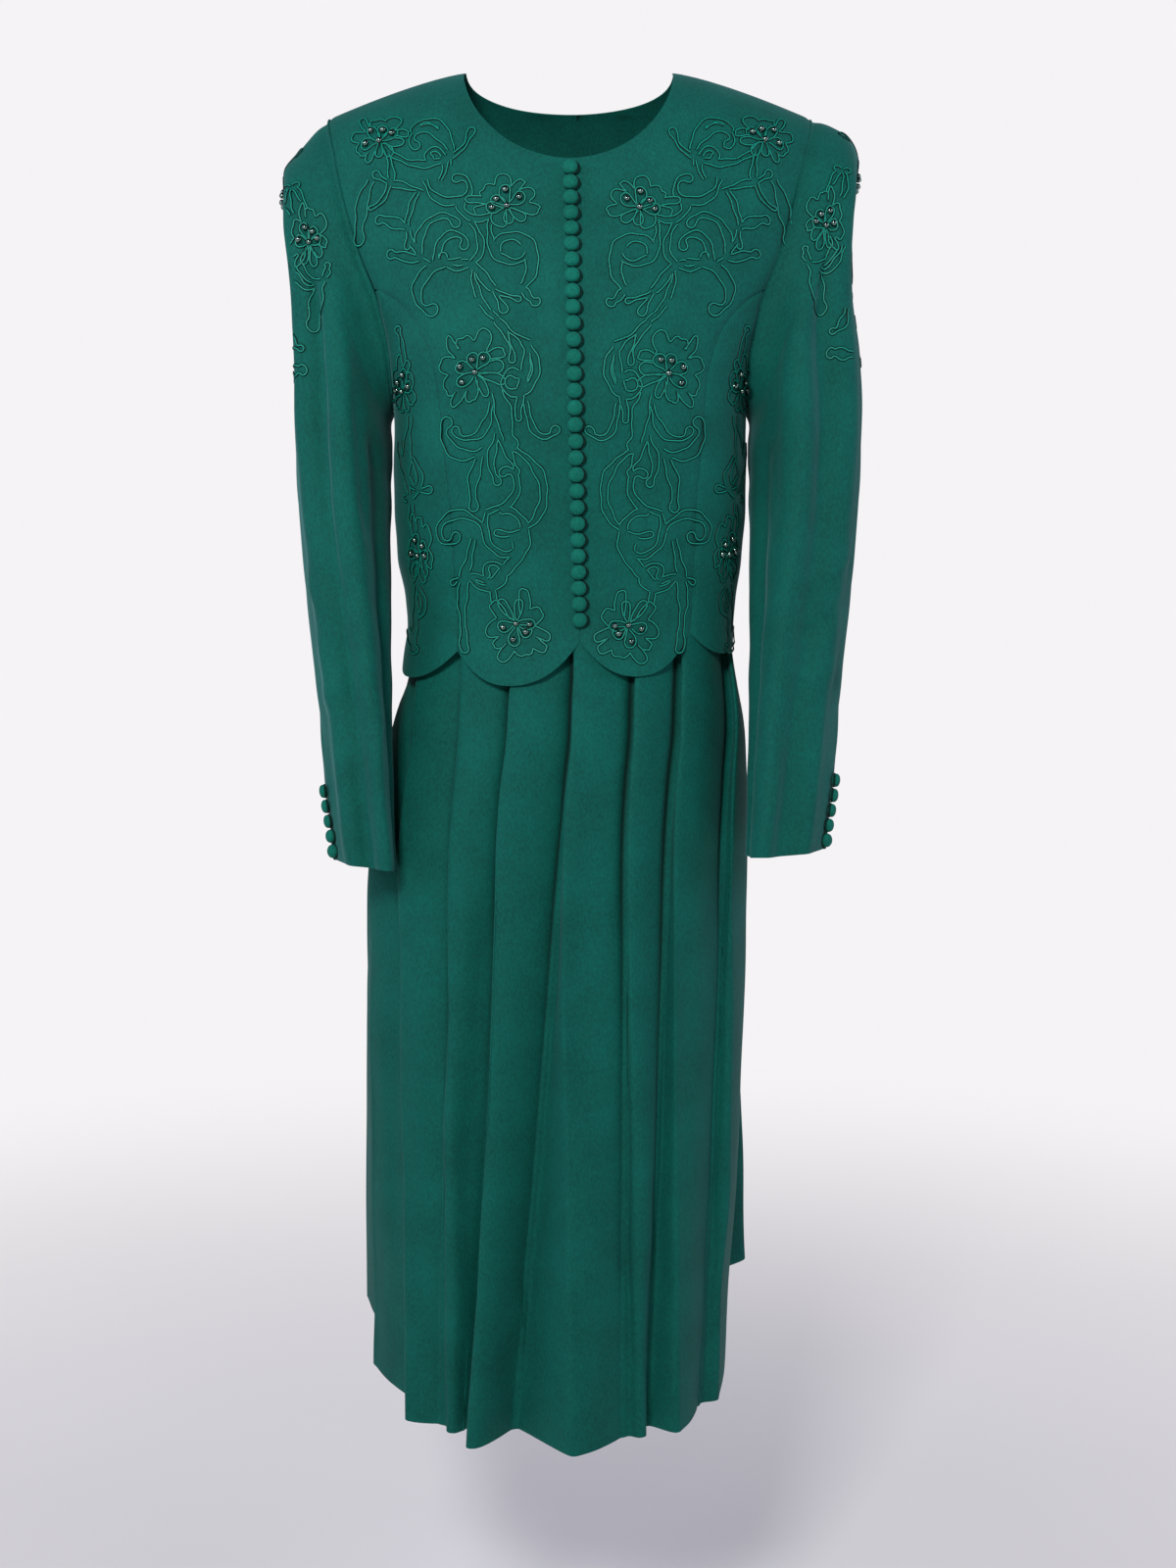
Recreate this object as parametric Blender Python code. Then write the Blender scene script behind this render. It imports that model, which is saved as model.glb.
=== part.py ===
"""Beaded midi dress.

A crepe bodice with padded shoulders, a jewel neckline, covered centre-front buttons and a
scalloped hem lies over a knife-pleated midi skirt. The long sleeves hang straight. The dress
keeps the hollow shape of a general figure.

Metres, +Z up. The front faces -Y. The origin is midway between the two points where the
neckline meets the shoulder seams, RIDGE_HEIGHT below them, where shoulders hold the dress.
"""

import math
from typing import NamedTuple

import bpy
import numpy as np

# Cloth
BODICE_WALL = 0.0014
SLEEVE_WALL = 0.0014
SKIRT_WALL = 0.0011
SEAM_GAP = 0.0003

# Shoulders, neckline and armholes. A level is a drop below the shoulder ridge.
RIDGE_HEIGHT = 0.020
NECK_HALF_WIDTH = 0.085
NECK_DROP_FRONT = 0.0873
NECK_DROP_BACK = 0.022
SHOULDER_SLOPE = 0.325
SHOULDER_RUN = 0.113
SHOULDER_ROUNDING = 1.3
SLOPE_FADES_OUT = 0.22
SHOULDER_TIP_ANGLE = math.radians(50.0)
UNDERARM_LEVEL = 0.275
PRINCESS_TOP = 0.185

# The centre-front opening drifts to one side on its way down.
OPENING_START = -0.001
OPENING_DRIFT = 0.0207

# Scalloped hem of the bodice. The hem hangs lower on one side.
FLAP_LEVEL = 0.43
NOTCH_HEIGHT = -0.4450
HEM_TILT = 0.078
CENTRE_SCALLOP = 0.031
SIDE_SCALLOP = 0.019
SCALLOP_ROUNDNESS = 2.2

# How finely the cloth and its curves are divided.
CENTRE_COLUMNS = 8
SIDE_COLUMNS = 6
BACK_COLUMNS = 10
WIDTH_SAMPLES = 161
RING_SAMPLES = 1441
OPENING_SAMPLES = 400
SHARP_ANGLE = math.radians(40.0)

# Skirt
WAIST_HEIGHT = -0.425
SKIRT_HEM_HEIGHT = -1.0806
BACK_HEM_LIFT = 0.036
HEM_LIFT_STARTS = -0.05
HEM_LIFT_RUN = 0.28
HEM_LIFT_POWER = 1.5
SEAM_PANELS = (7, 10, 13)
PANEL_SHARES = (0.25, 0.5, 0.75)
LAYER_PITCH = 0.0023
WAIST_LAP = 0.012
WAIST_LAP_POWER = 1.5
HEM_FOLD_RADIUS = 0.0045
FOLD_OPENS_OVER = 6.0
SHARPEST_MITRE = 0.8
HALF_GAP_ALONG = np.array([0.5 * SEAM_GAP, 0.0])

# Buttons
FRONT_BUTTONS = 29
FRONT_BUTTON_RADIUS = 0.0061
FRONT_BUTTON_HEIGHT = 0.0070
FIRST_BUTTON_LEVEL = 0.0965
LAST_BUTTON_LEVEL = 0.4475
CUFF_BUTTONS = 5
CUFF_BUTTON_RADIUS = 0.0056
CUFF_BUTTON_HEIGHT = 0.0062
CUFF_BUTTON_PITCH = 0.0124
CUFF_BUTTON_RISE = 0.0075
BUTTON_CLEARANCE = 0.0005
BUTTON_SIDES = 8

# Finishes
CREPE_COLOUR = (0.008, 0.118, 0.082)
CREPE_ROUGHNESS = 0.72
BUTTON_COLOUR = (0.010, 0.130, 0.092)
BUTTON_ROUGHNESS = 0.68


class BodiceRow(NamedTuple):
    """One section of the bodice: half width, depths and how square it is."""

    level: float
    half_width: float
    front: float
    back: float
    squareness: float


BODICE_ROWS = (
    BodiceRow(0.000, 0.2430, 0.000, 0.000, 2.6),
    BodiceRow(0.004, 0.2425, 0.014, 0.013, 2.6),
    BodiceRow(0.012, 0.2410, 0.030, 0.028, 2.6),
    BodiceRow(0.026, 0.2370, 0.046, 0.044, 2.6),
    BodiceRow(0.045, 0.2310, 0.059, 0.058, 2.6),
    BodiceRow(0.070, 0.2240, 0.071, 0.070, 2.6),
    BodiceRow(0.100, 0.2140, 0.081, 0.080, 2.6),
    BodiceRow(0.150, 0.1930, 0.094, 0.089, 2.6),
    BodiceRow(0.200, 0.1670, 0.105, 0.093, 2.5),
    BodiceRow(0.240, 0.1525, 0.111, 0.094, 2.5),
    BodiceRow(0.275, 0.1465, 0.110, 0.092, 2.4),
    BodiceRow(0.310, 0.1460, 0.105, 0.087, 2.4),
    BodiceRow(0.360, 0.1465, 0.097, 0.079, 2.3),
    BodiceRow(0.395, 0.1440, 0.091, 0.074, 2.3),
    BodiceRow(0.430, 0.1380, 0.087, 0.0705, 2.2),
    BodiceRow(0.450, 0.1370, 0.0865, 0.0700, 2.2),
    BodiceRow(0.475, 0.1395, 0.0895, 0.0740, 2.2),
    BodiceRow(0.500, 0.1445, 0.0940, 0.0830, 2.2),
)

FRONT_LEVELS = (
    0.0, 0.004, 0.012, 0.026, 0.044, 0.062, 0.076, 0.0845, NECK_DROP_FRONT,
    0.105, 0.130, 0.158, PRINCESS_TOP, 0.200, 0.218, 0.238, 0.256, 0.268,
    UNDERARM_LEVEL, 0.295, 0.325, 0.360, 0.390, 0.412, FLAP_LEVEL,
)
BACK_LEVELS = (
    0.0, 0.004, 0.012, 0.018, NECK_DROP_BACK, 0.044, 0.070, 0.100, 0.135, 0.170,
    0.205, 0.235, 0.258,
    UNDERARM_LEVEL, 0.295, 0.325, 0.360, 0.390, 0.412, FLAP_LEVEL,
)
FLAP_STEPS = (0.35, 0.7, 1.0)


class Scallop(NamedTuple):
    """One scallop along a panel's hem: its share of the panel's width and how far it hangs."""

    width: float
    hang: float


CENTRE_SCALLOPS = (Scallop(1.0, CENTRE_SCALLOP),)
SIDE_SCALLOPS = (Scallop(1.0, SIDE_SCALLOP),)
BACK_SCALLOPS = (Scallop(0.6, CENTRE_SCALLOP), Scallop(0.4, SIDE_SCALLOP))


class PrincessRow(NamedTuple):
    """A point of the princess seam: its level and its distance from the centre."""

    level: float
    across: float


PRINCESS_ROWS = (
    PrincessRow(0.185, 0.1525),
    PrincessRow(0.200, 0.1340),
    PrincessRow(0.218, 0.1200),
    PrincessRow(0.238, 0.1115),
    PrincessRow(0.256, 0.1075),
    PrincessRow(0.295, 0.1035),
    PrincessRow(0.360, 0.0985),
    PrincessRow(0.430, 0.0955),
    PrincessRow(0.500, 0.0925),
)


class SleeveRow(NamedTuple):
    """One ring of a sleeve: its outer and inner points, its depth and how it swings."""

    outer_x: float
    outer_z: float
    inner_x: float
    inner_z: float
    half_depth: float
    forward: float
    twist: float


LEFT_SLEEVE_ROWS = (
    SleeveRow(0.1980, -0.0170, 0.1465, -0.2550, 0.058, 0.000, 0.00),
    SleeveRow(0.2120, -0.0310, 0.1480, -0.2590, 0.061, 0.000, 0.00),
    SleeveRow(0.2240, -0.0460, 0.1488, -0.2640, 0.064, 0.001, 0.00),
    SleeveRow(0.2345, -0.0630, 0.1490, -0.2700, 0.066, 0.002, 0.00),
    SleeveRow(0.2335, -0.0900, 0.1490, -0.2780, 0.067, 0.004, 0.00),
    SleeveRow(0.2295, -0.1240, 0.1490, -0.2890, 0.067, 0.006, 0.00),
    SleeveRow(0.2270, -0.1640, 0.1490, -0.3030, 0.066, 0.008, 0.00),
    SleeveRow(0.2260, -0.2080, 0.1490, -0.3200, 0.064, 0.010, 0.02),
    SleeveRow(0.2275, -0.2560, 0.1490, -0.3420, 0.062, 0.013, 0.05),
    SleeveRow(0.2260, -0.3060, 0.1488, -0.3700, 0.060, 0.017, 0.08),
    SleeveRow(0.2220, -0.3560, 0.1482, -0.4030, 0.057, 0.024, 0.12),
    SleeveRow(0.2170, -0.4080, 0.1474, -0.4420, 0.053, 0.031, 0.17),
    SleeveRow(0.2105, -0.4620, 0.1464, -0.4850, 0.049, 0.040, 0.22),
    SleeveRow(0.2030, -0.5150, 0.1452, -0.5290, 0.045, 0.050, 0.28),
    SleeveRow(0.1975, -0.5680, 0.1438, -0.5760, 0.041, 0.060, 0.34),
    SleeveRow(0.1905, -0.6220, 0.1420, -0.6280, 0.038, 0.069, 0.40),
)
RIGHT_SLEEVE_ROWS = (
    SleeveRow(0.1980, -0.0170, 0.1465, -0.2550, 0.058, 0.000, 0.00),
    SleeveRow(0.2150, -0.0230, 0.1480, -0.2590, 0.061, 0.000, 0.00),
    SleeveRow(0.2290, -0.0330, 0.1488, -0.2640, 0.064, 0.001, 0.00),
    SleeveRow(0.2365, -0.0530, 0.1490, -0.2700, 0.066, 0.002, 0.00),
    SleeveRow(0.2325, -0.0840, 0.1490, -0.2780, 0.067, 0.004, 0.00),
    SleeveRow(0.2310, -0.1190, 0.1490, -0.2890, 0.067, 0.006, 0.00),
    SleeveRow(0.2325, -0.1600, 0.1490, -0.3030, 0.066, 0.008, 0.00),
    SleeveRow(0.2385, -0.2060, 0.1490, -0.3200, 0.064, 0.010, 0.02),
    SleeveRow(0.2415, -0.2560, 0.1490, -0.3420, 0.062, 0.013, 0.05),
    SleeveRow(0.2400, -0.3080, 0.1490, -0.3700, 0.060, 0.017, 0.08),
    SleeveRow(0.2360, -0.3600, 0.1488, -0.4030, 0.057, 0.024, 0.12),
    SleeveRow(0.2310, -0.4120, 0.1482, -0.4420, 0.053, 0.031, 0.17),
    SleeveRow(0.2245, -0.4640, 0.1474, -0.4850, 0.049, 0.040, 0.22),
    SleeveRow(0.2185, -0.5130, 0.1464, -0.5270, 0.045, 0.050, 0.28),
    SleeveRow(0.2135, -0.5620, 0.1450, -0.5690, 0.041, 0.060, 0.34),
    SleeveRow(0.2070, -0.6130, 0.1440, -0.6170, 0.038, 0.069, 0.40),
)
ARMHOLE_BLEND_ROWS = 4.0
SLEEVE_FOLD_EASE = 0.15


class SleeveFold(NamedTuple):
    """A soft lengthwise fold: where it lies round the sleeve, its width and its height."""

    turn: float
    width: float
    height: float
    starts: float
    ends: float


SLEEVE_FOLDS = (
    SleeveFold(0.135, 0.035, 0.0050, 0.10, 0.95),
    SleeveFold(0.215, 0.045, -0.0045, 0.18, 0.90),
    SleeveFold(0.330, 0.060, -0.0040, 0.30, 0.80),
    SleeveFold(0.720, 0.050, -0.0045, 0.20, 0.90),
    SleeveFold(0.860, 0.040, 0.0040, 0.12, 0.85),
)


class SkirtRow(NamedTuple):
    """One section of the skirt without its pleats."""

    height: float
    centre_x: float
    half_width: float
    front_y: float
    widest_y: float
    back_y: float
    squareness: float


SKIRT_ROWS = (
    SkirtRow(-0.425, 0.000, 0.1316, -0.0815, 0.000, 0.0640, 2.20),
    SkirtRow(-0.450, 0.000, 0.1315, -0.0820, 0.001, 0.0642, 2.20),
    SkirtRow(-0.470, 0.000, 0.1340, -0.0838, 0.003, 0.0678, 2.20),
    SkirtRow(-0.490, -0.001, 0.1400, -0.0880, 0.008, 0.0770, 2.22),
    SkirtRow(-0.520, -0.002, 0.1490, -0.0945, 0.020, 0.0940, 2.25),
    SkirtRow(-0.560, -0.006, 0.1575, -0.1010, 0.036, 0.1140, 2.30),
    SkirtRow(-0.610, -0.009, 0.1645, -0.1075, 0.052, 0.1350, 2.35),
    SkirtRow(-0.670, -0.010, 0.1675, -0.1130, 0.067, 0.1550, 2.40),
    SkirtRow(-0.750, -0.010, 0.1680, -0.1187, 0.085, 0.1765, 2.45),
    SkirtRow(-0.855, -0.010, 0.1675, -0.1257, 0.106, 0.1990, 2.52),
    SkirtRow(-0.965, -0.011, 0.1650, -0.1333, 0.127, 0.2190, 2.58),
    SkirtRow(-1.0806, -0.012, 0.1620, -0.1400, 0.150, 0.2400, 2.60),
)


class Pleat(NamedTuple):
    """A knife pleat. Places are distances round the skirt from the centre front, towards +X.

    edge is its fold at the waist. foot and crest are where its hollow and its fold reach the
    hem, and rise is how far apart they stand there. Between the two a front pleat drifts
    slowly at first, and a back pleat spreads as fast as the skirt widens, so it hangs straight.
    """

    edge: float
    foot: float
    crest: float
    rise: float


PLEATS = (
    Pleat(-0.186, -0.262, -0.235, 0.018),
    Pleat(-0.140, -0.147, -0.127, 0.026),
    Pleat(-0.089, -0.098, -0.087, 0.008),
    Pleat(-0.047, -0.071, -0.061, 0.040),
    Pleat(0.003, -0.033, 0.015, 0.048),
    Pleat(0.052, 0.061, 0.071, 0.008),
    Pleat(0.092, 0.085, 0.099, 0.026),
    Pleat(0.158, 0.152, 0.166, 0.012),
    Pleat(0.214, 0.390, 0.414, 0.056),
    Pleat(0.262, 0.470, 0.492, 0.036),
    Pleat(0.309, 0.545, 0.560, 0.030),
    Pleat(0.355, 0.615, 0.640, 0.038),
    Pleat(0.401, 0.700, 0.718, 0.032),
    Pleat(0.448, 0.795, 0.822, 0.040),
)
PLEAT_DRIFT = 1.6
PLEAT_RISE_POWER = 1.2
BACK_PLEATS_START = 0.200


class ButtonRow(NamedTuple):
    """A ring of a covered button: its share of the radius and of the height."""

    radius: float
    height: float


BUTTON_PROFILE = (
    ButtonRow(0.66, 0.00),
    ButtonRow(1.00, 0.40),
    ButtonRow(0.80, 0.80),
)


def smooth_curve(xs, ys):
    """Return a function that runs smoothly through the given points without overshooting."""
    xs = np.asarray(xs, dtype=float)
    ys = np.asarray(ys, dtype=float)
    steps = np.diff(xs)
    slopes = np.diff(ys) / steps
    tangents = np.zeros_like(ys)
    tangents[0] = slopes[0]
    tangents[-1] = slopes[-1]
    same_way = slopes[:-1] * slopes[1:] > 0.0
    before = np.where(same_way, slopes[:-1], 1.0)
    after = np.where(same_way, slopes[1:], 1.0)
    weight_before = 2.0 * steps[1:] + steps[:-1]
    weight_after = steps[1:] + 2.0 * steps[:-1]
    mean = (weight_before + weight_after) / (weight_before / before + weight_after / after)
    tangents[1:-1] = np.where(same_way, mean, 0.0)

    def curve(x):
        x = np.clip(np.asarray(x, dtype=float), xs[0], xs[-1])
        index = np.clip(np.searchsorted(xs, x, side="right") - 1, 0, len(xs) - 2)
        step = steps[index]
        t = (x - xs[index]) / step
        start = (1.0 + 2.0 * t) * (1.0 - t) ** 2 * ys[index]
        leave = t * (1.0 - t) ** 2 * step * tangents[index]
        end = t * t * (3.0 - 2.0 * t) * ys[index + 1]
        arrive = t * t * (t - 1.0) * step * tangents[index + 1]
        return start + leave + end + arrive

    return curve


def table_curve(rows, key, name):
    """Return the smooth curve of one column of a table over another."""
    xs = np.array([getattr(row, key) for row in rows])
    ys = np.array([getattr(row, name) for row in rows])
    order = np.argsort(xs)
    return smooth_curve(xs[order], ys[order])


def smooth_step(x):
    """Return 0 below 0 and 1 above 1 with a smooth rise between them."""
    x = np.clip(x, 0.0, 1.0)
    return x * x * (3.0 - 2.0 * x)


def unit(vectors):
    """Return the vectors scaled to a length of one."""
    return vectors / np.linalg.norm(vectors, axis=-1, keepdims=True)


half_width_at = table_curve(BODICE_ROWS, "level", "half_width")
front_depth_at = table_curve(BODICE_ROWS, "level", "front")
back_depth_at = table_curve(BODICE_ROWS, "level", "back")
squareness_at = table_curve(BODICE_ROWS, "level", "squareness")
princess_at = table_curve(PRINCESS_ROWS, "level", "across")


def body_surface(angle, level):
    """Return points of the bodice's outer surface, with no seam gaps.

    The angle runs from 0 at the centre front to pi at the centre back, positive towards +X.
    A negative level lies on the other side of the shoulder ridge.
    """
    angle, level = np.broadcast_arrays(np.asarray(angle, float), np.asarray(level, float))
    over_ridge = level < 0.0
    side = np.where(angle >= 0.0, 1.0, -1.0)
    angle = np.where(over_ridge, side * (math.pi - np.abs(angle)), angle)
    level = np.abs(level)
    power = 2.0 / squareness_at(level)
    sine = np.sin(angle)
    cosine = np.cos(angle)
    x = half_width_at(level) * np.sign(sine) * np.abs(sine) ** power
    depth = np.where(cosine >= 0.0, -front_depth_at(level), back_depth_at(level))
    y = depth * np.abs(cosine) ** power
    slope = SHOULDER_SLOPE * (1.0 - smooth_step(level / SLOPE_FADES_OUT))
    beyond_neck = np.clip(np.abs(x) - NECK_HALF_WIDTH, 0.0, None) / SHOULDER_RUN
    z = RIDGE_HEIGHT - level - slope * SHOULDER_RUN * beyond_neck ** SHOULDER_ROUNDING
    return np.stack([x, y, z], axis=-1)


def body_normal(angle, level):
    """Return outward unit normals of the bodice's surface."""
    turn = 0.001
    drop = 0.0005
    across = body_surface(angle + turn, level) - body_surface(angle - turn, level)
    down = body_surface(angle, level + drop) - body_surface(angle, level - drop)
    return unit(np.cross(down, across))


def armhole_angle(level):
    """Return the angle of the armhole's edge, a quarter oval from shoulder tip to underarm."""
    share = np.clip(level / UNDERARM_LEVEL, 0.0, 1.0)
    return math.pi / 2.0 - (math.pi / 2.0 - SHOULDER_TIP_ANGLE) * np.sqrt(1.0 - share ** 2)


def angle_of(x, level):
    """Return the front angle at which the bodice's surface has the given x."""
    ratio = np.clip(np.abs(x) / half_width_at(level), 0.0, 1.0)
    return np.sign(x) * np.arcsin(ratio ** (squareness_at(level) / 2.0))


def opening_x(level):
    """Return the x of the centre-front opening."""
    return OPENING_START + OPENING_DRIFT * level


def neck_share(level, drop):
    """Return the neckline's half width at a level, as a share of its full half width."""
    return np.sqrt(np.clip(1.0 - (level / drop) ** 2, 0.0, None))


def princess_x(side, level):
    """Return the x of a princess seam, which drifts by half as much as the opening."""
    return side * princess_at(level) + 0.5 * opening_x(level)


def princess_gap(level):
    """Return half of the seam gap, measured across the panel at a slanted seam."""
    step = 0.001
    slant = (princess_at(level + step) - princess_at(level - step)) / (2.0 * step)
    return 0.5 * SEAM_GAP * math.hypot(1.0, float(slant))


def even_angles(first, last, level, count):
    """Return count + 1 angles between two bounds that are evenly spaced along the cloth."""
    fine = np.linspace(first, last, WIDTH_SAMPLES)
    points = body_surface(fine, level)
    steps = np.linalg.norm(np.diff(points, axis=0), axis=1)
    run = np.concatenate([[0.0], np.cumsum(steps)])
    return np.interp(np.linspace(0.0, run[-1], count + 1), run, fine)


def scallop(share, depth):
    """Return how far a scallop hangs below its notches at a share of its width."""
    return depth * (1.0 - np.abs(2.0 * share - 1.0) ** SCALLOP_ROUNDNESS)


class Cloth:
    """Points, outward normals and four-sided faces of one cut piece, before it has a wall."""

    def __init__(self):
        self.points = []
        self.normals = []
        self.faces = []
        self.total = 0

    def add_grid(self, points, normals, closed=False):
        """Add a grid of rows and columns; a closed grid joins its last column to its first."""
        rows, columns = points.shape[:2]
        self.points.append(points.reshape(-1, 3))
        self.normals.append(normals.reshape(-1, 3))
        spans = columns if closed else columns - 1
        for row in range(rows - 1):
            for column in range(spans):
                beside = (column + 1) % columns
                here = self.total + row * columns
                below = here + columns
                self.faces.append((here + column, here + beside, below + beside, below + column))
        self.total += rows * columns

    def welded(self):
        """Return the points, normals and faces with points at the same place made one."""
        points = np.concatenate(self.points)
        normals = np.concatenate(self.normals)
        keys = np.round(points / 1e-6).astype(np.int64)
        _, first, same = np.unique(keys, axis=0, return_index=True, return_inverse=True)
        same = same.reshape(-1)
        faces = [tuple(int(same[corner]) for corner in face) for face in self.faces]
        return points[first], normals[first], faces

    def wall(self, thickness):
        """Return the points and triangles of the closed wall inside the outer points."""
        outer, normals, faces = self.welded()
        count = len(outer)
        triangles = [corner for face in faces for corner in split(outer, face)]
        used = {(start, end) for face in triangles for start, end in zip(face, face[1:] + face[:1])}
        border = [edge for edge in sorted(used) if (edge[1], edge[0]) not in used]
        points = np.concatenate([outer, outer - normals * thickness])
        lining = [tuple(corner + count for corner in reversed(face)) for face in triangles]
        edges = [(end, start, start + count, end + count) for start, end in border]
        return points, triangles + lining + edges


def split(points, face):
    """Return a four-sided face as two triangles along its shorter diagonal."""
    a, b, c, d = face
    if np.linalg.norm(points[a] - points[c]) <= np.linalg.norm(points[b] - points[d]):
        halves = ((a, b, c), (a, c, d))
    else:
        halves = ((a, b, d), (b, c, d))
    return [half for half in halves if len(set(half)) == 3]


def make_material(name, colour, roughness):
    """Return a Principled material of one colour."""
    material = bpy.data.materials.new(name)
    material.use_nodes = True
    shader = material.node_tree.nodes["Principled BSDF"]
    shader.inputs["Base Color"].default_value = (*colour, 1.0)
    shader.inputs["Roughness"].default_value = roughness
    return material


def make_object(name, points, faces, material):
    """Add one named object with smooth shading and sharp edges where its faces turn."""
    mesh = bpy.data.meshes.new(name)
    mesh.from_pydata([tuple(point) for point in points], [], faces)
    mesh.materials.append(material)
    mesh.shade_smooth()
    mesh.set_sharp_from_angle(angle=SHARP_ANGLE)
    piece = bpy.data.objects.new(name, mesh)
    bpy.context.scene.collection.objects.link(piece)
    return piece


def seam_shift(points, front):
    """Move points off the shoulder and side seams by half of the seam gap."""
    offset = -0.5 * SEAM_GAP if front else 0.5 * SEAM_GAP
    return points + np.array([0.0, offset, 0.0])


def flap_level(step, x, share, depth):
    """Return the levels of a row of the flap, which ends in the scalloped hem."""
    hem_height = NOTCH_HEIGHT + HEM_TILT * x - scallop(share, depth)
    hem_level = RIDGE_HEIGHT - hem_height
    return FLAP_LEVEL + (hem_level - FLAP_LEVEL) * step


def panel_grid(bounds, levels, columns, scallops, front):
    """Return the points and normals of a bodice panel.

    bounds gives the two angles that a level runs between.
    """
    angle_rows = []
    level_rows = []
    for level in levels:
        first, last = bounds(level)
        angle_rows.append(even_angles(first, last, level, columns))
        level_rows.append(np.full(columns + 1, level))
    share = np.linspace(0.0, 1.0, columns + 1)
    local, depth = scallop_places(share, scallops)
    mean_hem = RIDGE_HEIGHT - NOTCH_HEIGHT
    for step in FLAP_STEPS:
        nominal = FLAP_LEVEL + (mean_hem - FLAP_LEVEL) * step
        first, last = bounds(nominal)
        angles = even_angles(first, last, nominal, columns)
        x = body_surface(angles, nominal)[:, 0]
        angle_rows.append(angles)
        level_rows.append(flap_level(step, x, local, depth))
    angles = np.array(angle_rows)
    depths = np.array(level_rows)
    return seam_shift(body_surface(angles, depths), front), body_normal(angles, depths)


def scallop_places(share, scallops):
    """Return each column's share along its own scallop, and that scallop's depth."""
    local = np.zeros_like(share)
    depth = np.zeros_like(share)
    start = 0.0
    for part in scallops:
        inside = (share >= start - 1e-9) & (share <= start + part.width + 1e-9)
        local[inside] = np.clip((share[inside] - start) / part.width, 0.0, 1.0)
        depth[inside] = part.hang
        start += part.width
    return local, depth


def centre_front_bounds(side):
    """Return the bounds of a centre-front panel, from the opening or neckline outwards."""

    def bounds(level):
        open_neck = NECK_HALF_WIDTH * neck_share(level, NECK_DROP_FRONT)
        inner = opening_x(level) + side * (0.5 * SEAM_GAP + open_neck)
        if level < PRINCESS_TOP:
            return angle_of(inner, level), side * armhole_angle(level)
        outer = princess_x(side, level) - side * princess_gap(level)
        return angle_of(inner, level), angle_of(outer, level)

    return bounds


def side_front_bounds(side):
    """Return the bounds of a side-front panel, from the princess seam to the side seam."""

    def bounds(level):
        inner = princess_x(side, level) + side * princess_gap(level)
        return angle_of(inner, level), side * armhole_angle(level)

    return bounds


def back_bounds(side):
    """Return the bounds of one half of the back, from the side to the centre or neckline."""

    def bounds(level):
        open_neck = NECK_HALF_WIDTH * neck_share(level, NECK_DROP_BACK)
        centre = side * (math.pi - abs(float(angle_of(open_neck, level))))
        return centre, side * (math.pi - armhole_angle(level))

    return bounds


def make_bodice(cloth_material):
    """Make the four front panels and the back."""
    for side, word in ((-1.0, "left"), (1.0, "right")):
        centre = Cloth()
        centre.add_grid(*panel_grid(
            centre_front_bounds(side), FRONT_LEVELS, CENTRE_COLUMNS, CENTRE_SCALLOPS, True))
        make_wall("front_centre_" + word, centre, BODICE_WALL, cloth_material)
        flank_levels = [level for level in FRONT_LEVELS if level >= PRINCESS_TOP]
        flank = Cloth()
        flank.add_grid(*panel_grid(
            side_front_bounds(side), flank_levels, SIDE_COLUMNS, SIDE_SCALLOPS, True))
        make_wall("front_side_" + word, flank, BODICE_WALL, cloth_material)
    back = Cloth()
    for side in (-1.0, 1.0):
        points, normals = panel_grid(
            back_bounds(side), BACK_LEVELS, BACK_COLUMNS, BACK_SCALLOPS, False)
        back.add_grid(points[:, ::int(side)], normals[:, ::int(side)])
    make_wall("back_bodice", back, BODICE_WALL, cloth_material)


def make_wall(name, cloth, thickness, material):
    """Make an object from a cut piece, with its faces pointing out."""
    points, faces = cloth.wall(thickness)
    return make_object(name, points, facing_out(points, faces), material)


def facing_out(points, faces):
    """Return the faces of a closed surface, turned round if they point inwards."""
    corners = [np.stack([points[face[0]], points[face[index]], points[face[index + 1]]])
               for face in faces for index in range(1, len(face) - 1)]
    volume = np.linalg.det(np.array(corners)).sum()
    return faces if volume > 0.0 else [tuple(reversed(face)) for face in faces]


def armhole_loop(side):
    """Return the armhole's edge points and normals, from the tip down the front and up again."""
    front = np.array([level for level in FRONT_LEVELS if level <= UNDERARM_LEVEL])
    back = np.array([level for level in BACK_LEVELS if 0.0 < level < UNDERARM_LEVEL])[::-1]
    angles = np.concatenate([
        side * armhole_angle(front), side * (math.pi - armhole_angle(back))])
    levels = np.concatenate([front, back])
    points = body_surface(angles, levels)
    points[1:len(front) - 1, 1] -= 0.5 * SEAM_GAP
    points[len(front):, 1] += 0.5 * SEAM_GAP
    normals = body_normal(angles, levels)
    along = np.roll(points, -1, axis=0) - np.roll(points, 1, axis=0)
    return points, normals, side * unit(np.cross(normals, along)), len(front)


def loop_turns(points, front_count):
    """Return each loop point's turn: 0 at the tip, a half at the underarm, nearly 1 at the end."""
    closed = np.concatenate([points, points[:1]])
    run = np.concatenate([[0.0], np.cumsum(np.linalg.norm(np.diff(closed, axis=0), axis=1))])
    half = run[front_count - 1]
    turns = np.where(run <= half, 0.5 * run / half, 0.5 + 0.5 * (run - half) / (run[-1] - half))
    return turns[:-1]


def ring_points(row, side, turns):
    """Return the points of one oval ring of a sleeve."""
    outer = np.array([side * row.outer_x, -row.forward, row.outer_z])
    inner = np.array([side * row.inner_x, -row.forward, row.inner_z])
    centre = 0.5 * (outer + inner)
    swing = 2.0 * math.pi * turns[:, None]
    depth = np.array([side * row.twist, 1.0, 0.0]) * row.half_depth
    return centre + (outer - centre) * np.cos(swing) - depth * np.sin(swing)


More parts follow.
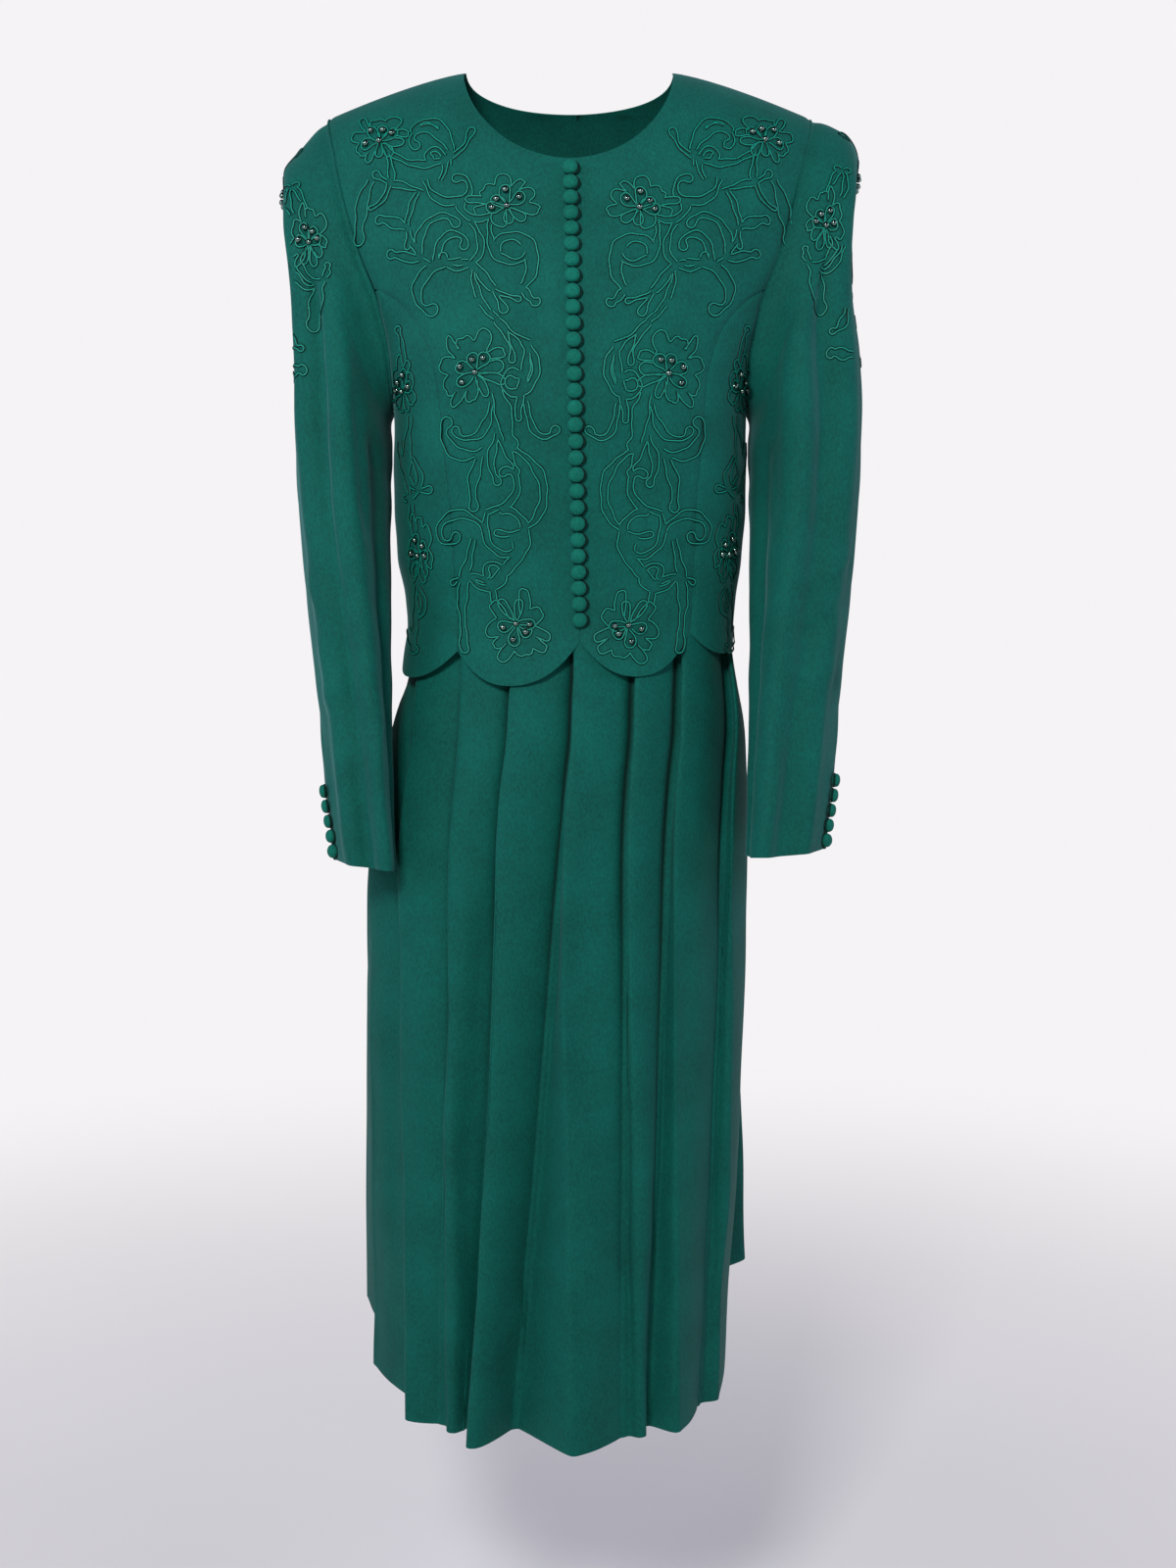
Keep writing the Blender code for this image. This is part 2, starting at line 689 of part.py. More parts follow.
def fold_heights(turns, share):
    """Return how far the sleeve's soft folds stand out at each turn of one ring."""
    heights = np.zeros_like(turns)
    for fold in SLEEVE_FOLDS:
        away = np.abs((turns - fold.turn + 0.5) % 1.0 - 0.5) / fold.width
        grows = smooth_step((share - fold.starts) / SLEEVE_FOLD_EASE)
        fades = 1.0 - smooth_step((share - fold.ends) / SLEEVE_FOLD_EASE)
        heights += fold.height * np.exp(-away ** 2) * grows * fades
    return heights


def grid_normals(points):
    """Return the outward normals of a grid of rings that close on themselves."""
    around = np.roll(points, -1, axis=1) - np.roll(points, 1, axis=1)
    along = np.gradient(points, axis=0)
    return unit(np.cross(around, along))


def sleeve_grid(side, rows):
    """Return the points and normals of a sleeve, from its armhole seam to its cuff."""
    edge, edge_normal, edge_out, front_count = armhole_loop(side)
    turns = loop_turns(edge, front_count)
    rings = np.array([ring_points(row, side, turns) for row in rows])
    miss = edge - rings[0]
    for index in range(len(rows)):
        keep = max(0.0, 1.0 - index / ARMHOLE_BLEND_ROWS) ** 2
        rings[index] += miss * keep
    leaving = unit(rings[1] - rings[0])
    turn = np.arctan2(
        np.einsum("ij,ij->i", leaving, edge_normal), np.einsum("ij,ij->i", leaving, edge_out))
    half_turn = 0.5 * np.clip(turn, 0.0, math.pi)[:, None]
    off = np.cos(half_turn) * edge_out + np.sin(half_turn) * edge_normal
    rings[0] = edge + off * SEAM_GAP
    normals = side * grid_normals(rings)
    shares = np.linspace(0.0, 1.0, len(rows))
    for index, share in enumerate(shares):
        rings[index] += normals[index] * fold_heights(turns, share)[:, None]
    normals = side * grid_normals(rings)
    normals[0] = np.where((turn < 0.0)[:, None], edge_normal, normals[0])
    return rings, normals


def make_sleeves(cloth_material, button_material):
    """Make both sleeves and the covered buttons on their cuffs."""
    for side, word, rows in ((-1.0, "left", LEFT_SLEEVE_ROWS), (1.0, "right", RIGHT_SLEEVE_ROWS)):
        points, normals = sleeve_grid(side, rows)
        sleeve = Cloth()
        sleeve.add_grid(points, normals, closed=True)
        make_wall("sleeve_" + word, sleeve, SLEEVE_WALL, cloth_material)
        make_cuff_buttons(word, points[:, 0], normals[:, 0], button_material)


def make_cuff_buttons(word, line, normals, material):
    """Make a row of covered buttons up the outer side of a cuff."""
    steps = np.linalg.norm(np.diff(line[::-1], axis=0), axis=1)
    run = np.concatenate([[0.0], np.cumsum(steps)])
    for number in range(CUFF_BUTTONS):
        along = CUFF_BUTTON_RISE + number * CUFF_BUTTON_PITCH
        place = np.array([np.interp(along, run, line[::-1, axis]) for axis in range(3)])
        facing = unit(np.array([np.interp(along, run, normals[::-1, axis]) for axis in range(3)]))
        name = "cuff_button_%s_%d" % (word, number + 1)
        make_button(name, place, facing, CUFF_BUTTON_RADIUS, CUFF_BUTTON_HEIGHT, material)


def make_button(name, place, facing, radius, height, material):
    """Make a covered button that stands just off the cloth."""
    across = unit(np.cross(facing, np.array([0.0, 0.0, 1.0])))
    upward = np.cross(facing, across)
    turns = np.linspace(0.0, 2.0 * math.pi, BUTTON_SIDES, endpoint=False)[:, None]
    rim = np.cos(turns) * across + np.sin(turns) * upward
    base = place + facing * BUTTON_CLEARANCE
    rings = [base + facing * (row.height * height) + rim * (row.radius * radius)
             for row in BUTTON_PROFILE]
    points = np.concatenate(rings + [(base + facing * height)[None]])
    faces = [tuple(range(BUTTON_SIDES))]
    for ring in range(len(rings) - 1):
        for corner in range(BUTTON_SIDES):
            beside = (corner + 1) % BUTTON_SIDES
            low = ring * BUTTON_SIDES
            high = low + BUTTON_SIDES
            faces.append((low + beside, low + corner, high + corner, high + beside))
    top = len(points) - 1
    last = (len(rings) - 1) * BUTTON_SIDES
    for corner in range(BUTTON_SIDES):
        faces.append((last + (corner + 1) % BUTTON_SIDES, last + corner, top))
    make_object(name, points, facing_out(points, faces), material)


def make_front_buttons(material):
    """Make the row of covered buttons down the centre-front opening."""
    levels = np.linspace(FIRST_BUTTON_LEVEL, LAST_BUTTON_LEVEL, OPENING_SAMPLES)
    angles = angle_of(opening_x(levels), levels)
    line = seam_shift(body_surface(angles, levels), True)
    run = np.concatenate([[0.0], np.cumsum(np.linalg.norm(np.diff(line, axis=0), axis=1))])
    for number, along in enumerate(np.linspace(0.0, run[-1], FRONT_BUTTONS)):
        level = np.interp(along, run, levels)
        angle = angle_of(opening_x(level), level)
        place = seam_shift(body_surface(angle, level), True)
        name = "front_button_%02d" % (number + 1)
        facing = body_normal(angle, level)
        make_button(name, place, facing, FRONT_BUTTON_RADIUS, FRONT_BUTTON_HEIGHT, material)


skirt_centre_at = table_curve(SKIRT_ROWS, "height", "centre_x")
skirt_width_at = table_curve(SKIRT_ROWS, "height", "half_width")
skirt_front_at = table_curve(SKIRT_ROWS, "height", "front_y")
skirt_widest_at = table_curve(SKIRT_ROWS, "height", "widest_y")
skirt_back_at = table_curve(SKIRT_ROWS, "height", "back_y")
skirt_squareness_at = table_curve(SKIRT_ROWS, "height", "squareness")


class SkirtRing:
    """A section of the skirt without its pleats, measured along its own length."""

    def __init__(self, height):
        angles = np.linspace(-math.pi, math.pi, RING_SAMPLES)
        power = 2.0 / skirt_squareness_at(height)
        sine = np.sin(angles)
        cosine = np.cos(angles)
        widest = skirt_widest_at(height)
        reach = np.where(cosine >= 0.0, widest - skirt_front_at(height),
                         skirt_back_at(height) - widest)
        reach_x = skirt_width_at(height) * np.sign(sine) * np.abs(sine) ** power
        x = skirt_centre_at(height) + reach_x
        y = widest - reach * np.sign(cosine) * np.abs(cosine) ** power
        self.points = np.stack([x, y], axis=1)
        steps = np.linalg.norm(np.diff(self.points, axis=0), axis=1)
        run = np.concatenate([[0.0], np.cumsum(steps)])
        centre = np.interp(0.0, angles, run)
        self.length = run[-1]
        self.run = run - centre

    def place(self, along, out):
        """Return the points at distances along the ring and out from it."""
        reach = 0.004
        here = self.on_ring(along)
        ahead = self.on_ring(along + reach)
        behind = self.on_ring(along - reach)
        tangent = unit(ahead - behind)
        outward = np.stack([tangent[:, 1], -tangent[:, 0]], axis=1)
        return here + outward * out[:, None]

    def on_ring(self, along):
        """Return the points of the ring itself at distances from the centre front."""
        start = self.run[0]
        wrapped = (along - start) % self.length + start
        x = np.interp(wrapped, self.run, self.points[:, 0])
        y = np.interp(wrapped, self.run, self.points[:, 1])
        return np.stack([x, y], axis=1)


def pleated_section(height):
    """Return the ring and the middle line of the cloth all round it, with its pleats.

    The line has one row for each point: how far along the ring and how far out it lies. It
    has the same number of points at each height. The last value lists the points that follow
    the right side seam, the centre-back seam and the left side seam.
    """
    ring = SkirtRing(height)
    fall = fallen(height)
    waist_length = SkirtRing(WAIST_HEIGHT).length
    hem_length = SkirtRing(SKIRT_HEM_HEIGHT).length
    widened = (ring.length - waist_length) / (hem_length - waist_length)
    folds = [pleat_places(pleat, fall, widened) for pleat in PLEATS]
    section = []
    seams = []
    for index, fold in enumerate(folds):
        if index < len(folds) - 1:
            following = folds[index + 1][0]
        else:
            following = folds[0][0] + np.array([ring.length, 0.0])
        section.extend(fold)
        first, middle, last = (panel_place(fold[-1], following, share) for share in PANEL_SHARES)
        section.append(first)
        if index in SEAM_PANELS:
            section.append(middle - HALF_GAP_ALONG)
            seams.append(len(section))
            section.append(middle + HALF_GAP_ALONG)
        else:
            section.append(middle)
        section.append(last)
    return ring, np.array(section), seams


def fallen(height):
    """Return how far down the skirt a height lies, from 0 at the waist to 1 at the hem."""
    return (WAIST_HEIGHT - height) / (WAIST_HEIGHT - SKIRT_HEM_HEIGHT)


def pleat_places(pleat, fall, widened):
    """Return the six points that turn the cloth under and back over at one pleat."""
    drift = widened if pleat.edge > BACK_PLEATS_START else fall ** PLEAT_DRIFT
    radius = LAYER_PITCH / 2.0 + (HEM_FOLD_RADIUS - LAYER_PITCH / 2.0) * fall
    rise = LAYER_PITCH + (pleat.rise - LAYER_PITCH) * fall ** PLEAT_RISE_POWER
    lap = WAIST_LAP * (1.0 - fall) ** WAIST_LAP_POWER
    foot = pleat.edge + (pleat.foot - pleat.edge) * drift + lap
    crest = pleat.edge + (pleat.crest - pleat.edge) * drift
    opened = float(smooth_step(0.5 + (crest - foot) / (FOLD_OPENS_OVER * radius)))
    way = 2.0 * opened - 1.0
    layer = LAYER_PITCH / 2.0 * (1.0 - opened)
    dip = 0.5 * radius * opened
    return [
        np.array([foot - radius, -0.5 * rise - layer + dip]),
        np.array([foot, -0.5 * rise]),
        np.array([foot + radius * way, -0.5 * rise + layer + dip]),
        np.array([crest - radius * way, 0.5 * rise - layer - dip]),
        np.array([crest, 0.5 * rise]),
        np.array([crest + radius, 0.5 * rise + layer - dip]),
    ]


def panel_place(start, end, share):
    """Return a point of a pleat's panel between its fold and the next hollow."""
    eased = 0.5 * (share + float(smooth_step(share)))
    return np.array([
        start[0] + (end[0] - start[0]) * share,
        start[1] + (end[1] - start[1]) * eased,
    ])


def hem_lift(x, y, fall):
    """Return how far a point of the skirt is lifted above its row's nominal height."""
    tilt = HEM_TILT * x * (1.0 - fall) ** 2
    behind = np.clip((y - HEM_LIFT_STARTS) / HEM_LIFT_RUN, 0.0, 1.0)
    return tilt + BACK_HEM_LIFT * behind ** HEM_LIFT_POWER * fall


def skirt_grids():
    """Return the outer and inner points of the skirt's wall, row by row, and its seams."""
    outer = []
    inner = []
    for row in SKIRT_ROWS:
        ring, section, seams = pleated_section(row.height)
        middle = ring.place(section[:, 0], section[:, 1])
        ahead = unit(np.roll(middle, -1, axis=0) - middle)
        bisector = unit(ahead + np.roll(ahead, 1, axis=0))
        outward = np.stack([bisector[:, 1], -bisector[:, 0]], axis=1)
        half = np.einsum("ij,ij->i", bisector, ahead)
        offset = outward * (0.5 * SKIRT_WALL / np.clip(half, SHARPEST_MITRE, 1.0))[:, None]
        height = row.height + hem_lift(middle[:, 0], middle[:, 1], fallen(row.height))
        outer.append(np.column_stack([middle + offset, height]))
        inner.append(np.column_stack([middle - offset, height]))
    return np.array(outer), np.array(inner), seams


def make_skirt(cloth_material):
    """Make the skirt's front and the two halves of its back, which meet at three seams."""
    outer, inner, seams = skirt_grids()
    columns = np.arange(outer.shape[1])
    right, centre, left = seams
    cuts = (
        ("skirt_front", np.concatenate([columns[left:], columns[:right]])),
        ("skirt_back_right", columns[right:centre]),
        ("skirt_back_left", columns[centre:left]),
    )
    for name, chosen in cuts:
        piece = Cloth()
        piece.add_grid(outer[:, chosen], (outer - inner)[:, chosen] / SKIRT_WALL)
        make_wall(name, piece, SKIRT_WALL, cloth_material)


def main():
    """Build every piece of the dress."""
    for leftover in list(bpy.data.objects):
        bpy.data.objects.remove(leftover)
    crepe = make_material("green_crepe", CREPE_COLOUR, CREPE_ROUGHNESS)
    covered = make_material("covered_button_crepe", BUTTON_COLOUR, BUTTON_ROUGHNESS)
    make_bodice(crepe)
    make_sleeves(crepe, covered)
    make_skirt(crepe)
    make_front_buttons(covered)


main()
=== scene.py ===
"""Looks of the beaded midi dress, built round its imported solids.

The crepe pieces are thin shells on the same form as the solids, with finer pleats, creases and
seam grooves. Soutache cord, beads, covered buttons and their loops lie on that cloth. Metres,
+Z up, the front faces -Y.
"""

import logging
import math
from dataclasses import dataclass, field
from enum import Enum
from typing import Callable, Iterable, NamedTuple

import bpy
import numpy as np
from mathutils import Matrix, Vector


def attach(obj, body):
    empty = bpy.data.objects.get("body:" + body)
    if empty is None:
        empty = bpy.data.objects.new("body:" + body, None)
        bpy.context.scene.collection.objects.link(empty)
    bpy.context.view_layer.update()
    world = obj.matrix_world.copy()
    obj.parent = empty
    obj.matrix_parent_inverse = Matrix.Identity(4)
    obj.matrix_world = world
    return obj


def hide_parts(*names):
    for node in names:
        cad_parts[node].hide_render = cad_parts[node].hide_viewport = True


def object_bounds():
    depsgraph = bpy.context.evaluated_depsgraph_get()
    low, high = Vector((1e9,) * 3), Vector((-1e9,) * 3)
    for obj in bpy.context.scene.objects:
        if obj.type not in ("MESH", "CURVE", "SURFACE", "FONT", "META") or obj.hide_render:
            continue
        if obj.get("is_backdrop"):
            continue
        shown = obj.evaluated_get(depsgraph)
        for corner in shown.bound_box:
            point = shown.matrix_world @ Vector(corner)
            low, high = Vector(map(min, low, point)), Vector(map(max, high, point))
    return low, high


log = logging.getLogger("dress")
Array = np.ndarray
Surface = Callable[[Array, Array], tuple[Array, Array]]

MILLIMETRE = 0.001
# Lengths and shares are kept above TINY, and points closer than WELD become one.
TINY = 1e-12
WELD = 2e-6
# Edges that turn further than this are shaded sharp.
SHARP_TURN = math.radians(62.0)
# A crease's line is cut into straight steps between this many points.
CREASE_STEPS = 12


class Slot(Enum):
    """The record's names for the four finishes."""

    CREPE = "green_crepe"
    BUTTON = "covered_button"
    CORD = "soutache_cord"
    BEAD = "black_bead"


class Side(Enum):
    """The viewer's left and right, as the sign of x."""

    LEFT = -1.0
    RIGHT = 1.0

    @property
    def word(self) -> str:
        """Return the side's name as it stands in node names."""
        return self.name.lower()


def linear(hex_code: str) -> tuple[float, float, float, float]:
    """Turn an sRGB hex colour into a linear one.

    Args:
        hex_code: six hex digits.

    Returns:
        Red, green, blue and alpha.
    """
    shares = np.array([int(hex_code[place:place + 2], 16) / 255.0 for place in (0, 2, 4)])
    straight = np.where(shares <= 0.04045, shares / 12.92, ((shares + 0.055) / 1.055) ** 2.4)
    return (*straight.tolist(), 1.0)


def add_node(tree: bpy.types.NodeTree, kind: str, inputs: dict | None = None,
             **settings: object) -> bpy.types.Node:
    """Add one shader node with its settings, values and links.

    Args:
        tree: the material's node tree.
        kind: the node's type name.
        inputs: socket names or numbers, each with a value or a socket to link from.
        settings: the node's own properties.

    Returns:
        The new node.
    """
    node = tree.nodes.new(kind)
    for name, value in settings.items():
        setattr(node, name, value)
    for name, value in (inputs or {}).items():
        if isinstance(value, bpy.types.NodeSocket):
            tree.links.new(value, node.inputs[name])
        else:
            node.inputs[name].default_value = value
    return node


def start_material(name: str) -> tuple[bpy.types.Material, bpy.types.NodeTree]:
    """Make an empty material with its output still to be linked."""
    material = bpy.data.materials.new(name)
    material.use_nodes = True
    material.node_tree.nodes.clear()
    return material, material.node_tree


def add_ramp(tree: bpy.types.NodeTree, share: bpy.types.NodeSocket,
             *stops: tuple[float, str]) -> bpy.types.NodeSocket:
    """Add a ramp between two hex colours, each with its place, and return its colour."""
    ramp = add_node(tree, "ShaderNodeValToRGB", {"Fac": share})
    for element, (place, colour) in zip(ramp.color_ramp.elements, stops):
        element.position = place
        element.color = linear(colour)
    return ramp.outputs["Color"]


def finish_material(tree: bpy.types.NodeTree, shader: bpy.types.Node) -> None:
    """Link a shader to the material's output."""
    add_node(tree, "ShaderNodeOutputMaterial", {"Surface": shader.outputs[0]})


@dataclass(frozen=True)
class CrepeFinish:
    """Polyester crepe: hard-twisted yarn, woven and shrunk, so its face is finely pebbled.

    It is matte, with a cool bloom where it turns away. Real pebbles are about 0.5 mm across,
    too fine to show here, so they are drawn at pebble_mm.
    """

    name: str = "crepe_green"
    deep: str = "033F38"
    clear: str = "04534A"
    pebble_mm: float = 1.7
    mottle_mm: float = 45.0
    roughness: float = 0.78
    sheen: float = 0.20
    sheen_tint: str = "8FC4CC"
    # Painted shade: the colour laid along the narrow gaps under the pleat folds.
    slit_shade: str = "011A17"
    relief_mm: float = 0.16
    grain_turn: float = math.radians(24.0)
    grain_stretch: float = 0.62
    pebble_share: float = 0.62
    mottle_share: float = 0.38

    def make(self) -> bpy.types.Material:
        """Build the crepe: slow mottling of the dye, pebbles in colour and relief, and painted shade
        along the folds.
        """
        material, tree = start_material(self.name)
        place = add_node(tree, "ShaderNodeTexCoord").outputs["Object"]
        slanted = add_node(tree, "ShaderNodeMapping", {
            "Vector": place, "Rotation": (0.0, self.grain_turn, 0.0),
            "Scale": (1.0, 1.0, self.grain_stretch)}).outputs["Vector"]
        pebbles = add_node(tree, "ShaderNodeTexNoise", {
            "Vector": slanted, "Scale": 1.0 / (self.pebble_mm * MILLIMETRE), "Detail": 2.0,
            "Roughness": 0.6}).outputs["Fac"]
        mottle = add_node(tree, "ShaderNodeTexNoise", {
            "Vector": place, "Scale": 1.0 / (self.mottle_mm * MILLIMETRE), "Detail": 3.0,
            "Roughness": 0.55}).outputs["Fac"]
        grained = add_node(tree, "ShaderNodeMath", {
            0: pebbles, 1: self.pebble_share}, operation="MULTIPLY")
        summed = add_node(tree, "ShaderNodeMath", {
            0: mottle, 1: self.mottle_share, 2: grained.outputs[0]}, operation="MULTIPLY_ADD")
        colour = add_ramp(tree, summed.outputs[0], (0.34, self.deep), (0.68, self.clear))
        # Painted shade: each point's share, stored on the mesh, darkens the colour towards that painted
        # fold colour.
        slit_shade = add_node(tree, "ShaderNodeAttribute", attribute_name="slit_shade").outputs["Fac"]
        shaded = add_node(tree, "ShaderNodeMix", {
            "Factor": slit_shade, 6: colour, 7: linear(self.slit_shade)}, data_type="RGBA")
        bump = add_node(tree, "ShaderNodeBump", {
            "Height": pebbles, "Strength": 0.55, "Distance": self.relief_mm * MILLIMETRE})
        shader = add_node(tree, "ShaderNodeBsdfPrincipled", {
            "Base Color": shaded.outputs[2], "Roughness": self.roughness,
            "Specular IOR Level": 0.10, "Sheen Weight": self.sheen, "Sheen Roughness": 0.42,
            "Sheen Tint": linear(self.sheen_tint), "Normal": bump.outputs["Normal"]})
        finish_material(tree, shader)
        return material


@dataclass(frozen=True)
class CordFinish:
    """Soutache: a narrow rayon braid plaited over two cores, so it shows slanting plaits.

    Its colour is painted by height: painted shade down its sides and feet, and a painted highlight on
    its top.
    """

    name: str = "soutache_rayon"
    # The first colour is painted shade on the cord's sides and feet, the second a painted highlight on
    # its top.
    groove: str = "011613"
    ridge: str = "0F8A78"
    plait_mm: float = 1.6
    roughness: float = 0.5

    def make(self) -> bpy.types.Material:
        """Build the braid: painted shade at its feet and a painted highlight on top, by height, and
        plaits as a fine bump.
        """
        material, tree = start_material(self.name)
        height = add_node(tree, "ShaderNodeAttribute", attribute_name="ridge").outputs["Fac"]
        colour = add_ramp(tree, height, (0.30, self.groove), (0.90, self.ridge))
        along = add_node(tree, "ShaderNodeUVMap", uv_map="braid").outputs["UV"]
        plaits = add_node(tree, "ShaderNodeTexWave", {
            "Vector": along, "Scale": 1.0 / (self.plait_mm * MILLIMETRE), "Distortion": 0.0},
            wave_type="BANDS", bands_direction="DIAGONAL")
        bump = add_node(tree, "ShaderNodeBump", {
            "Height": plaits.outputs["Fac"], "Strength": 0.3, "Distance": 0.12 * MILLIMETRE})
        shader = add_node(tree, "ShaderNodeBsdfPrincipled", {
            "Base Color": colour, "Roughness": self.roughness, "Specular IOR Level": 0.12,
            "Normal": bump.outputs["Normal"]})
        finish_material(tree, shader)
        return material


@dataclass(frozen=True)
class BeadFinish:
    """Black glass beads, moulded and fire polished: a hard shine with slight waviness."""

    name: str = "bead_black_glass"
    body: str = "020404"
    bloom: str = "06100E"
    shine: str = "D4FFF2"
    cloud_mm: float = 2.4
    refraction: float = 2.5
    roughness: float = 0.10

    def make(self) -> bpy.types.Material:
        """Build the glass: nearly black, with a faint green bloom in places."""
        material, tree = start_material(self.name)
        place = add_node(tree, "ShaderNodeTexCoord").outputs["Object"]
        cloud = add_node(tree, "ShaderNodeTexNoise", {
            "Vector": place, "Scale": 1.0 / (self.cloud_mm * MILLIMETRE),
            "Detail": 1.0}).outputs["Fac"]
        colour = add_ramp(tree, cloud, (0.45, self.body), (0.75, self.bloom))
        bump = add_node(tree, "ShaderNodeBump", {
            "Height": cloud, "Strength": 0.12, "Distance": 0.2 * MILLIMETRE})
        shader = add_node(tree, "ShaderNodeBsdfPrincipled", {
            "Base Color": colour, "Roughness": self.roughness, "IOR": self.refraction,
            "Specular Tint": linear(self.shine), "Normal": bump.outputs["Normal"]})
        finish_material(tree, shader)
        return material


@dataclass(frozen=True)
class FloorFinish:
    """A pale matte floor, faintly clouded, that fades into the bright wall far behind."""

    name: str = "floor_pale"
    light: str = "F4F0F0"
    shade: str = "E2DEDF"
    wall: str = "F5F3F5"
    fade: tuple[float, float] = (0.3, 2.5)

    def make(self) -> bpy.types.Material:
        """Build the floor's paint: a matte grey that turns to the wall's glow further out."""
        material, tree = start_material(self.name)
        place = add_node(tree, "ShaderNodeTexCoord").outputs["Object"]
        cloud = add_node(tree, "ShaderNodeTexNoise", {
            "Vector": place, "Scale": 1.3, "Detail": 2.0}).outputs["Fac"]
        colour = add_node(tree, "ShaderNodeMix", {
            "Factor": cloud, 6: linear(self.light), 7: linear(self.shade)}, data_type="RGBA")
        matte = add_node(tree, "ShaderNodeBsdfPrincipled", {
            "Base Color": colour.outputs[2], "Roughness": 0.9})
        glow = add_node(tree, "ShaderNodeEmission", {"Color": linear(self.wall), "Strength": 1.0})
        level = add_node(tree, "ShaderNodeVectorMath", {0: place, 1: (1.0, 1.0, 0.0)},
                         operation="MULTIPLY").outputs["Vector"]
        away = add_node(tree, "ShaderNodeVectorMath", {0: level}, operation="LENGTH")
        share = add_node(tree, "ShaderNodeMapRange", {
            "Value": away.outputs["Value"], "From Min": self.fade[0], "From Max": self.fade[1]},
            interpolation_type="SMOOTHSTEP")
        shader = add_node(tree, "ShaderNodeMixShader", {
            "Fac": share.outputs[0], 1: matte.outputs[0], 2: glow.outputs[0]})
        finish_material(tree, shader)
        return material


def smooth_curve(xs: Iterable[float], ys: Iterable[float]) -> Callable[[Array], Array]:
    """Make a cubic curve through points whose slopes never overshoot them.

    Args:
        xs: rising places.
        ys: the values there.

    Returns:
        A function that gives the curve's value anywhere between the first and last place.
    """
    xs = np.asarray(xs, dtype=float)
    ys = np.asarray(ys, dtype=float)
    steps = np.diff(xs)
    slopes = np.diff(ys) / steps
    tangents = np.zeros_like(ys)
    tangents[0] = slopes[0]
    tangents[-1] = slopes[-1]
    same_way = slopes[:-1] * slopes[1:] > 0.0
    before = np.where(same_way, slopes[:-1], 1.0)
    after = np.where(same_way, slopes[1:], 1.0)
    weight_before = 2.0 * steps[1:] + steps[:-1]
    weight_after = steps[1:] + 2.0 * steps[:-1]
    mean = (weight_before + weight_after) / (weight_before / before + weight_after / after)
    tangents[1:-1] = np.where(same_way, mean, 0.0)

    def curve(x: Array) -> Array:
        """Return the cubic through the two nearest points, with their slopes."""
        x = np.clip(np.asarray(x, dtype=float), xs[0], xs[-1])
        index = np.clip(np.searchsorted(xs, x, side="right") - 1, 0, len(xs) - 2)
        step = steps[index]
        t = (x - xs[index]) / step
        start = (1.0 + 2.0 * t) * (1.0 - t) ** 2 * ys[index]
        leave = t * (1.0 - t) ** 2 * step * tangents[index]
        end = t * t * (3.0 - 2.0 * t) * ys[index + 1]
        arrive = t * t * (t - 1.0) * step * tangents[index + 1]
        return start + leave + end + arrive

    return curve


def smooth_step(x: Array) -> Array:
    """Return 0 below 0 and 1 above 1, with the smooth rise 3x² - 2x³ between them."""
    x = np.clip(x, 0.0, 1.0)
    return x * x * (3.0 - 2.0 * x)


def unit(vectors: Array) -> Array:
    """Return the vectors divided by their own lengths."""
    return vectors / np.maximum(np.linalg.norm(vectors, axis=-1, keepdims=True), TINY)


def even_run(points: Array) -> Array:
    """Return the distance travelled along a line of points, from 0 at its first."""
    steps = np.linalg.norm(np.diff(points, axis=0), axis=-1)
    return np.concatenate([[0.0], np.cumsum(steps)])


def row_runs(points: Array) -> Array:
    """Return the distance travelled along each row of points, from 0 at its first."""
    steps = np.linalg.norm(np.diff(points, axis=1), axis=2)
    return np.concatenate([np.zeros((len(steps), 1)), np.cumsum(steps, axis=1)], axis=1)


def signed_power(values: Array, power: float | Array) -> Array:
    """Return the sizes raised to a power, with the values' own signs."""
    return np.sign(values) * np.abs(values) ** power


class Table:
    """Smooth curves of a table's columns over its first one."""

    def __init__(self, names: str, rows: tuple[tuple[float, ...], ...]) -> None:
        """Keep one curve for each named column after the first."""
        figures = np.array(rows)
        figures = figures[np.argsort(figures[:, 0])]
        self.curves = {name: smooth_curve(figures[:, 0], column)
                       for name, column in zip(names.split(), figures.T[1:])}

    def __call__(self, name: str, place: Array) -> Array:
        """Return a column's value at places along the first one."""
        return self.curves[name](place)


SEAM_GAP = 0.0003
BODICE_TABLE = Table("half_width front back squareness", (
    (0.000, 0.2430, 0.000, 0.000, 2.6), (0.004, 0.2425, 0.014, 0.013, 2.6),
    (0.012, 0.2410, 0.030, 0.028, 2.6), (0.026, 0.2370, 0.046, 0.044, 2.6),
    (0.045, 0.2310, 0.059, 0.058, 2.6), (0.070, 0.2240, 0.071, 0.070, 2.6),
    (0.100, 0.2140, 0.081, 0.080, 2.6), (0.150, 0.1930, 0.094, 0.089, 2.6),
    (0.200, 0.1670, 0.105, 0.093, 2.5), (0.240, 0.1525, 0.111, 0.094, 2.5),
    (0.275, 0.1465, 0.110, 0.092, 2.4), (0.310, 0.1460, 0.105, 0.087, 2.4),
    (0.360, 0.1465, 0.097, 0.079, 2.3), (0.395, 0.1440, 0.091, 0.074, 2.3),
    (0.430, 0.1380, 0.087, 0.0705, 2.2), (0.450, 0.1370, 0.0865, 0.0700, 2.2),
    (0.475, 0.1395, 0.0895, 0.0740, 2.2), (0.500, 0.1445, 0.0940, 0.0830, 2.2)))
PRINCESS_TABLE = Table("across", (
    (0.185, 0.1525), (0.200, 0.1340), (0.218, 0.1200), (0.238, 0.1115), (0.256, 0.1075),
    (0.295, 0.1035), (0.360, 0.0985), (0.430, 0.0955), (0.500, 0.0925)))


